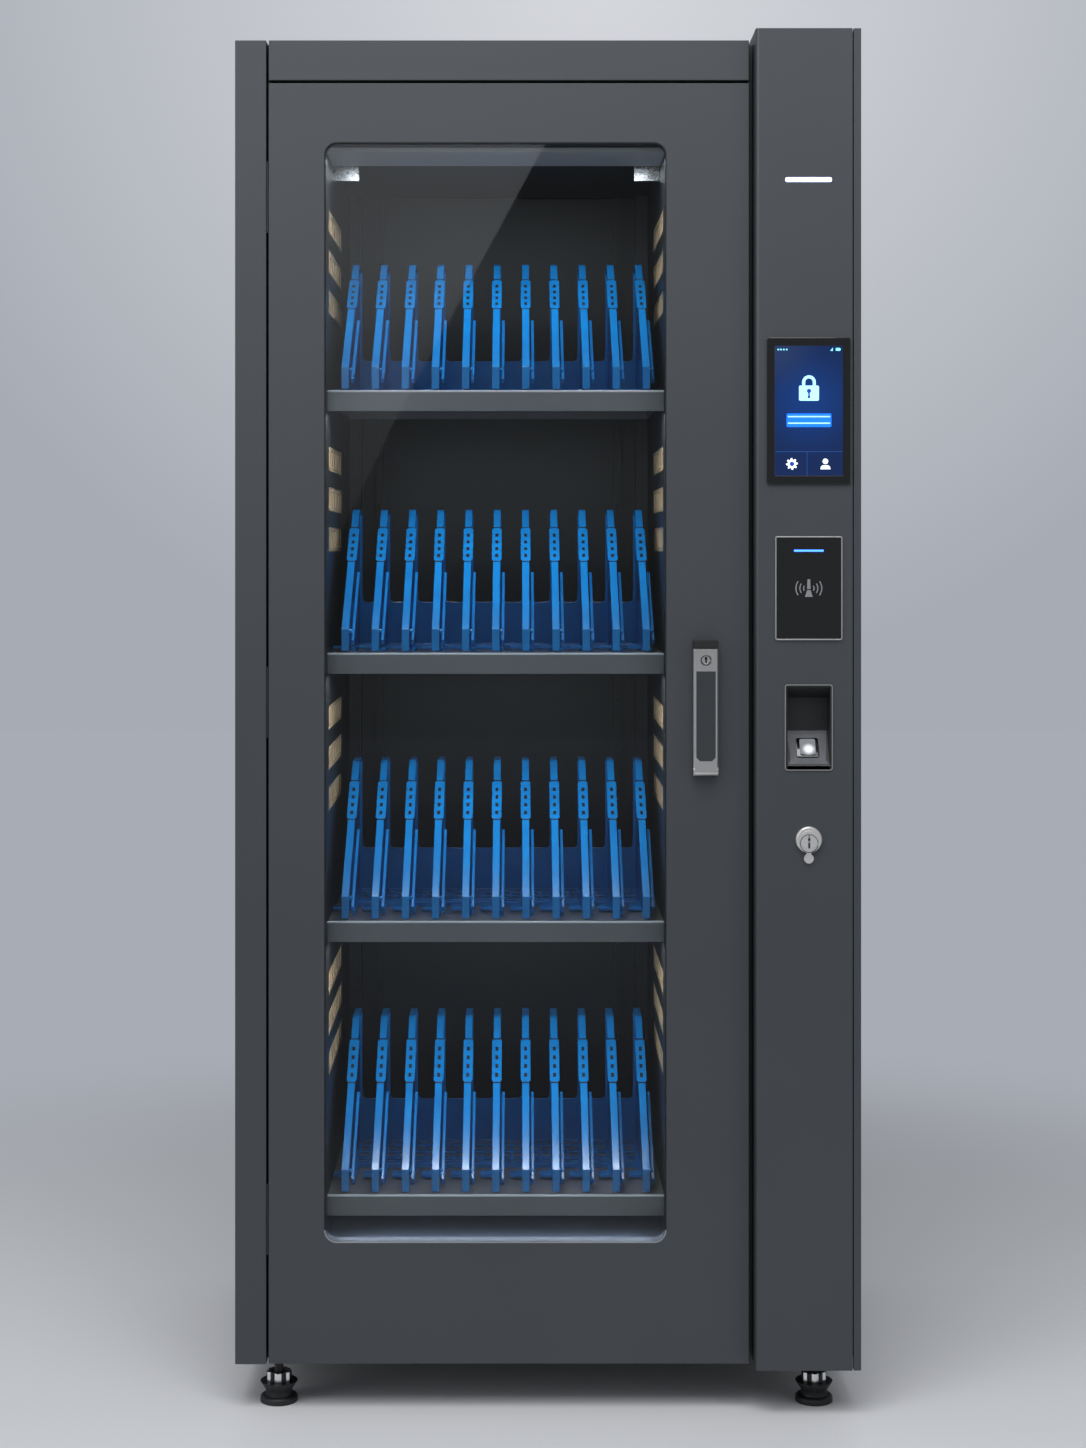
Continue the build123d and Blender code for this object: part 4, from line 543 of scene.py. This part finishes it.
def rim(mesh, x, z, wide, tall, radius, stroke, y0, y1):
    """A thin frame with round corners, from y0 to y1."""
    loops = []
    for grow in (0, stroke):
        corners = [mesh.verts.new((px, y0, pz)) for px, pz in
                   rounded(x, z, wide + 2 * grow, tall + 2 * grow, radius + grow)]
        loops += [mesh.edges.new((corners[k - 1], corners[k])) for k in range(len(corners))]
    flat = bmesh.ops.bridge_loops(mesh, edges=loops)["faces"]
    deep = bmesh.ops.extrude_face_region(mesh, geom=flat)["geom"]
    moved = [v for v in deep if isinstance(v, bmesh.types.BMVert)]
    bmesh.ops.translate(mesh, verts=moved, vec=(0, y1 - y0, 0))


def size_of(node):
    """A node's middle and its width and height."""
    low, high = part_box(node)
    return (low.x + high.x) / 2, (low.z + high.z) / 2, high.x - low.x, high.z - low.z


# The fingerprint recess: how far its floor runs in and up, its walls and the sensor's pad
SLOPE_RUN, SLOPE_RISE = 31.5 * MM, 44 * MM
RECESS_WALL = 3 * MM
PAD_WIDE, PAD_TALL = 21 * MM, 24 * MM


def laid_on_slope(mesh):
    """Turns flat shapes drawn about zero on to the slope of the fingerprint recess."""
    low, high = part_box("fingerprint_sensor")
    middle = (low + high) / 2
    bmesh.ops.rotate(mesh, verts=mesh.verts, cent=(0, 0, 0),
                     matrix=Matrix.Rotation(-math.atan2(SLOPE_RUN, SLOPE_RISE), 3, "X"))
    bmesh.ops.translate(mesh, verts=mesh.verts, vec=middle)


def finger_recess():
    """The fingerprint recess: a sloping floor with its lip, painted pale for the light that falls on them,
    and a fine bright frame round it as a painted highlight on its edge.
    """
    x, z, wide, tall = size_of("fingerprint_housing")
    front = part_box("fingerprint_housing")[0].y
    half = wide / 2 - RECESS_WALL
    foot_z, head_z = z - tall / 2 + 2 * RECESS_WALL, z - 7 * MM
    mesh = bmesh.new()
    rows = [(half - 0.2 * MM, front - 0.2 * MM, z - tall / 2 + 0.6 * MM),
            (half - 0.2 * MM, front - 0.2 * MM, foot_z - 0.5 * MM),
            (half - 5 * MM, front + 5 * MM, foot_z + 7.5 * MM),
            (half - 1 * MM, front + SLOPE_RUN, head_z + 0.6 * MM)]
    ends = [[mesh.verts.new((x + way * w, y, h)) for w, y, h in rows] for way in (-1, 1)]
    for k in range(3):
        mesh.faces.new((ends[0][k], ends[1][k], ends[1][k + 1], ends[0][k + 1]))
    bmesh.ops.solidify(mesh, geom=mesh.faces[:], thickness=0.4 * MM)
    # Painted light: the floor is the housing's plastic, painted pale for the light on the slope
    piece("recess_floor", mesh, recess_floor_painted_lit, "cabinet")
    mesh = bmesh.new()
    line = 1.2 * MM
    rim(mesh, x, z, wide - line, tall - line, 2 * line, line, front + 0.2 * MM, front - 0.5 * MM)
    # Painted highlight: the satin nickel frame stands for the pale line where the housing's edge catches the
    # light
    piece("recess_frame", mesh, handle_metal, "cabinet")


def sensor_face():
    """The sensor: a dark rim round a smoky face with a white light low in it."""
    low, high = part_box("fingerprint_sensor")
    mesh = bmesh.new()
    prism(mesh, rounded(0, 0, PAD_WIDE, PAD_TALL, 2.5 * MM), -3.4 * MM, 0)
    laid_on_slope(mesh)
    material, tree, shader, place = start("smoky_sensor_glass")
    shader.inputs["Base Color"].default_value = tone("#6a6e73")
    shader.inputs["Roughness"].default_value = 0.3
    middle = (low + high) / 2 + Vector((0.001, 0, -0.005))
    away = add(tree, "ShaderNodeVectorMath", {1: middle}, {0: place}, operation="DISTANCE")
    glow = add(tree, "ShaderNodeMapRange",
               {"From Min": 0.003, "From Max": 0.012, "To Min": 1.6, "To Max": 0.0},
               {"Value": away.outputs["Value"]}, interpolation_type="SMOOTHSTEP")
    shader.inputs["Emission Color"].default_value = tone("#f2f6ff")
    tree.links.new(glow.outputs["Result"], shader.inputs["Emission Strength"])
    piece("sensor_face", mesh, material, "cabinet")


finger_recess()
sensor_face()

# The key lock: its keyway and the groove round its plug, and a small screw in the lug under it, drawn as dark
# marks of painted shade in their recesses
LOCK_X = size_of("override_plug")[0]
HALF_PLUG = size_of("override_plug")[2] / 2 / MM
KEYWAY_SHADE = [disc(0, 5.2, 1.9, 12), rounded(0, -3.4, 2.6, 6.6, 0.8),
          ring_arc(0, 0, HALF_PLUG - 0.6, 0.9, 0, 352)]
shown("lock_keyway", ("override_plug", KEYWAY_SHADE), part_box("override_plug")[0].y, 0.2, dark_inlay,
      BODY["override_plug"])
LUG_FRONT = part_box("override_lock")[0].y
LUG_SCREW_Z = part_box("override_lock")[0].z + 6.5 * MM
mesh = bmesh.new()
for mark in (ring_arc(0, 0, 4.2, 0.8, 0, 340), disc(0, 0, 1.4, 10)):
    prism(mesh, [(LOCK_X + x * MM, LUG_SCREW_Z + z * MM) for x, z in mark],
          LUG_FRONT + 3.1 * MM, LUG_FRONT + 4 * MM)
piece("lug_screw", mesh, dark_inlay, "cabinet")

# The handle's key lock: a dark ring round it and a dark middle, painted shade for the gap round the cylinder
# and its keyway
for name, marks in (("handle_lock_ring", [ring_arc(0, 0, 6.4, 1.6, 0, 345)]),
                    ("handle_keyway", [rounded(0, 0, 2.0, 6.5, 0.8), disc(0, 2.4, 1.8, 10)])):
    shown(name, ("handle_key", marks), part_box("handle_key")[0].y, 0.2, dark_inlay, BODY["handle_key"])

# The door's window, as the CAD has it: left, right, foot and head, and the radius of its corners
WINDOW = [v * MM for v in (-300.5, 161.5, 228, 1714)]
WINDOW_RADIUS = 17 * MM

# A painted highlight: a pale grey strip for the light that the lower edge of the toughened pane catches
sill_painted_highlight = surface("painted_sill_highlight", "#8d9296", "#9b9fa3", 0.25, 3.0, 0.002, spread=0.05)


def sill_line():
    """A pale strip along the window's sill and its lower corners: a painted highlight on the edge of the
    pane.
    """
    left, right, foot, head = WINDOW
    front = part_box("door_skin")[0].y
    mesh = bmesh.new()
    bar(mesh, left + WINDOW_RADIUS, right - WINDOW_RADIUS, front + 0.4 * MM, front + 2 * MM, foot,
        foot + 1.4 * MM)
    for x, first in ((left + WINDOW_RADIUS, 180), (right - WINDOW_RADIUS, 270)):
        prism(mesh, ring_arc(x, foot + WINDOW_RADIUS, WINDOW_RADIUS - 0.7 * MM, 1.4 * MM, first, first + 90),
              front + 0.4 * MM, front + 2 * MM)
    piece("sill_line", mesh, sill_painted_highlight, "door")


sill_line()


# Each bank of outlets: its rows, the sockets in a row, and the three slots of a socket in millimetres
ROWS = 3
SOCKETS = 6
SOCKET_DEEP = 6 * MM
SOCKET_ROW = 34 * MM
OUTLET_PITCH = 56 * MM
SLOTS, HALF_SLOT = (-6, 0, 6), 1.6


def outlet_slots():
    """The slots of every outlet behind the side openings, as black bars of painted shade, found from the
    banks in the frame.
    """
    mesh = bmesh.new()
    mesh.from_mesh(frame["nodes"]["outlet_banks"].data)
    bmesh.ops.remove_doubles(mesh, verts=mesh.verts, dist=2e-6)
    left, banks = set(mesh.verts), []
    while left:
        group, wave = set(), [left.pop()]
        while wave:
            v = wave.pop()
            group.add(v)
            near = [e.other_vert(v) for e in v.link_edges]
            wave += [n for n in near if n in left]
            left -= set(near)
        banks.append([[pick(v.co[k] for v in group) for pick in (min, max)] for k in range(3)])
    mesh.free()
    slots = bmesh.new()
    for (x0, x1), (y0, y1), (z0, z1) in banks:
        face = x1 - SOCKET_DEEP if x0 < -0.3 else x0 + SOCKET_DEEP
        step = (y1 - y0 - 2 * MM) / SOCKETS
        for row in range(ROWS):
            z = z1 - 1 * MM - SOCKET_ROW / 2 - OUTLET_PITCH * row
            for k in range(SOCKETS):
                y = y0 + 1 * MM + step * (k + 0.5)
                for dz in SLOTS:
                    bar(slots, face - 0.4 * MM, face + 0.4 * MM, y - 6 * MM, y + 8 * MM,
                        z + (dz - HALF_SLOT) * MM, z + (dz + HALF_SLOT) * MM)
    piece("outlet_slots", slots, black_plastic, "cabinet")


outlet_slots()


NUT_FOOT, NUT_TALL, NUT_ROUND = 28 * MM, 13.2 * MM, 17.6 * MM


def foot_nuts():
    """The chromed nut above each foot's cup."""
    for k in (1, 2, 3, 4):
        low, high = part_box("foot_" + str(k))
        x, y = (low.x + high.x) / 2, (low.y + high.y) / 2
        mesh = bmesh.new()
        bmesh.ops.create_cone(mesh, cap_ends=True, segments=6, radius1=NUT_ROUND, radius2=NUT_ROUND,
                              depth=NUT_TALL)
        bmesh.ops.translate(mesh, verts=mesh.verts, vec=(x, y, NUT_FOOT + NUT_TALL / 2))
        round_edges(mesh, 0.6, 2)
        piece("foot_nut_" + str(k), mesh, chrome_metal, BODY["foot_" + str(k)])


foot_nuts()


def studio():
    """The pale floor, the pale surroundings and soft lamps."""
    bpy.ops.mesh.primitive_plane_add(size=24, location=(0, 0, 0))
    floor = bpy.context.object
    floor.name = "floor"
    material, tree, shader, place = start("studio_floor")
    out = [n for n in tree.nodes if n.bl_idname == "ShaderNodeOutputMaterial"][0]
    shader.inputs["Base Color"].default_value = tone("#e6e7ea")
    shader.inputs["Roughness"].default_value = 0.42
    far = add(tree, "ShaderNodeVectorMath", links={0: place}, operation="LENGTH")
    fade = add(tree, "ShaderNodeMapRange", {"From Min": 1.15, "From Max": 2.3},
               {"Value": far.outputs["Value"]},
               interpolation_type="SMOOTHSTEP")
    glow = add(tree, "ShaderNodeEmission", {"Color": tone(WALL), "Strength": 1.0})
    mix = add(tree, "ShaderNodeMixShader",
              links={0: fade.outputs["Result"], 1: shader.outputs[0], 2: glow.outputs[0]})
    tree.links.new(mix.outputs[0], out.inputs["Surface"])
    floor.data.materials.append(material)
    world = bpy.data.worlds.new("studio")
    world.use_nodes = True
    tree = world.node_tree
    tree.nodes.clear()
    path = add(tree, "ShaderNodeLightPath")
    lamp = add(tree, "ShaderNodeBackground", {"Color": tone("#dfe4ec"), "Strength": 0.33})
    mirrored = add(tree, "ShaderNodeBackground", {"Color": tone("#e4e8ee"), "Strength": 0.36})
    way = add(tree, "ShaderNodeTexCoord")
    off = add(tree, "ShaderNodeVectorMath", {1: BRIGHT_WAY}, {0: way.outputs["Generated"]},
              operation="DISTANCE")
    dim = add(tree, "ShaderNodeMapRange", {"From Min": 0.0, "From Max": 0.3}, {"Value": off.outputs["Value"]})
    wash = add(tree, "ShaderNodeMix", {6: tone("#d7d9de"), 7: tone("#a7abb4")}, {0: dim.outputs["Result"]},
               data_type="RGBA")
    seen = add(tree, "ShaderNodeBackground", {"Strength": 1.0}, {"Color": wash.outputs[2]})
    lamp = add(tree, "ShaderNodeMixShader",
               links={0: path.outputs["Is Glossy Ray"], 1: lamp.outputs[0], 2: mirrored.outputs[0]})
    mix = add(tree, "ShaderNodeMixShader",
              links={0: path.outputs["Is Camera Ray"], 1: lamp.outputs[0], 2: seen.outputs[0]})
    add(tree, "ShaderNodeOutputWorld", links={"Surface": mix.outputs[0]})
    bpy.context.scene.world = world


# The backdrop is palest high behind the cabinet, and the floor fades into it far away
BRIGHT_WAY = (0.03, 0.97, 0.24)
WALL = "#a8acb5"


def reflection_card():
    """A pale screen that only mirrors show, which lays the slanting sheen on the pane."""
    eye, glass = Vector(CAMERA_PLACE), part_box("door_glass")[0].y
    away = 2.4
    mesh = bmesh.new()
    corners = []
    for x, z in SHEEN_ON_PANE:
        spot = Vector((x, glass, z))
        ray = spot - eye
        ray.y = -ray.y
        corners.append(mesh.verts.new(spot + ray * (away / -ray.y)))
    mesh.faces.new(corners)
    bmesh.ops.inset_region(mesh, faces=mesh.faces, thickness=0.01)
    data = bpy.data.meshes.new("reflection_card")
    mesh.to_mesh(data)
    mesh.free()
    card = bpy.data.objects.new("reflection_card", data)
    bpy.context.scene.collection.objects.link(card)
    material, tree, shader, place = start("card_glow")
    out = [n for n in tree.nodes if n.bl_idname == "ShaderNodeOutputMaterial"][0]
    height = add(tree, "ShaderNodeSeparateXYZ", links={0: place})
    fade = add(tree, "ShaderNodeMapRange", {"From Min": 1.0, "From Max": 2.3, "To Min": 0.4, "To Max": 2.6},
               {"Value": height.outputs["Z"]}, interpolation_type="SMOOTHSTEP")
    glow = add(tree, "ShaderNodeEmission", {"Color": tone("#f4f6fb")}, {"Strength": fade.outputs["Result"]})
    tree.links.new(glow.outputs[0], out.inputs["Surface"])
    data.materials.append(material)
    for kind in ("visible_camera", "visible_diffuse", "visible_shadow", "visible_transmission"):
        setattr(card, kind, False)


# The sheen's corners on the pane, X and Z: its right edge slants down to the left as in the photograph
SHEEN_ON_PANE = [(-0.32, 1.10), (-0.205, 1.339), (-0.0025, 1.713), (0.03, 1.80), (-0.5, 1.80), (-0.5, 1.10)]


def area(name, place, aim, width, height, watts, code="#ffffff"):
    """A soft rectangular lamp that looks at a point."""
    data = bpy.data.lights.new(name, "AREA")
    data.shape = "RECTANGLE"
    data.size, data.size_y = width, height
    data.energy = watts
    data.color = tone(code)[:3]
    lamp = bpy.data.objects.new(name, data)
    bpy.context.scene.collection.objects.link(lamp)
    lamp.location = place
    lamp.rotation_euler = (Vector(aim) - Vector(place)).to_track_quat("-Z", "Y").to_euler()
    return lamp


# The photograph's view: 2407 px of focal length on a frame 1448 px high
CAMERA_PLACE = (-0.0362, -3.529, 1.1637)
FRAME_TALL = 1448
FOCAL_PX = 2407
MIDDLE_PX = (543, 724)
AXIS_PX = (520, 550)


def camera():
    """The camera, level, with a small shift for the photograph's framing."""
    data = bpy.data.cameras.new("photo_view")
    data.sensor_width = 36
    data.lens = FOCAL_PX / FRAME_TALL * data.sensor_width
    data.shift_x = (MIDDLE_PX[0] - AXIS_PX[0]) / FRAME_TALL
    data.shift_y = (AXIS_PX[1] - MIDDLE_PX[1]) / FRAME_TALL
    eye = bpy.data.objects.new("photo_view", data)
    bpy.context.scene.collection.objects.link(eye)
    eye.location = CAMERA_PLACE
    eye.rotation_euler = (math.radians(90), 0, 0)
    bpy.context.scene.camera = eye


studio()
reflection_card()
area("key_top", (-0.3, -1.9, 4.2), (0, -0.3, 1.7), 2.4, 1.2, 62)
area("fill_left", (-3.6, -2.4, 1.8), (0, -0.2, 1.0), 1.6, 2.6, 26)
area("fill_right", (3.4, -2.8, 1.6), (0, -0.2, 1.0), 1.4, 2.4, 9)
area("floor_front", (0, -2.2, 2.6), (0, -1.0, 0), 4.4, 1.0, 31)
area("back_rim", (0.6, 2.8, 3.0), (0, 0, 1.2), 2.4, 1.2, 5)


def bay_lamps():
    """A slim lamp under each shelf's front and the ceiling, for the light that the bays show."""
    low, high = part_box("shelves")
    middle = (low.x + high.x) / 2
    ceilings = [z - LIP_TALL for z in SHELF_NODE_TOPS[1:]] + [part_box("ceiling_light")[0].z]
    for k, (floor_z, roof_z) in enumerate(zip(SHELF_NODE_TOPS, ceilings)):
        place = (middle, low.y + 0.022, roof_z - 0.004)
        lamp = area("bay_lamp_" + str(k + 1), place, (middle, low.y + 0.05, floor_z), 0.43, 0.02,
                    BAY_WATTS, "#f9f8fb")
        lamp.visible_camera = False
    lamp = area("floor_lamp", (middle, low.y + 0.006, SHELF_NODE_TOPS[0] - LIP_TALL - 0.014),
                (middle, low.y + 0.006, 0), 0.43, 0.012, 0.3, "#dbe5ff")
    lamp.visible_camera = False


LIP_TALL = 28 * MM
BAY_WATTS = 1.0
bay_lamps()
camera()
scene = bpy.context.scene
scene.view_settings.view_transform = "Standard"
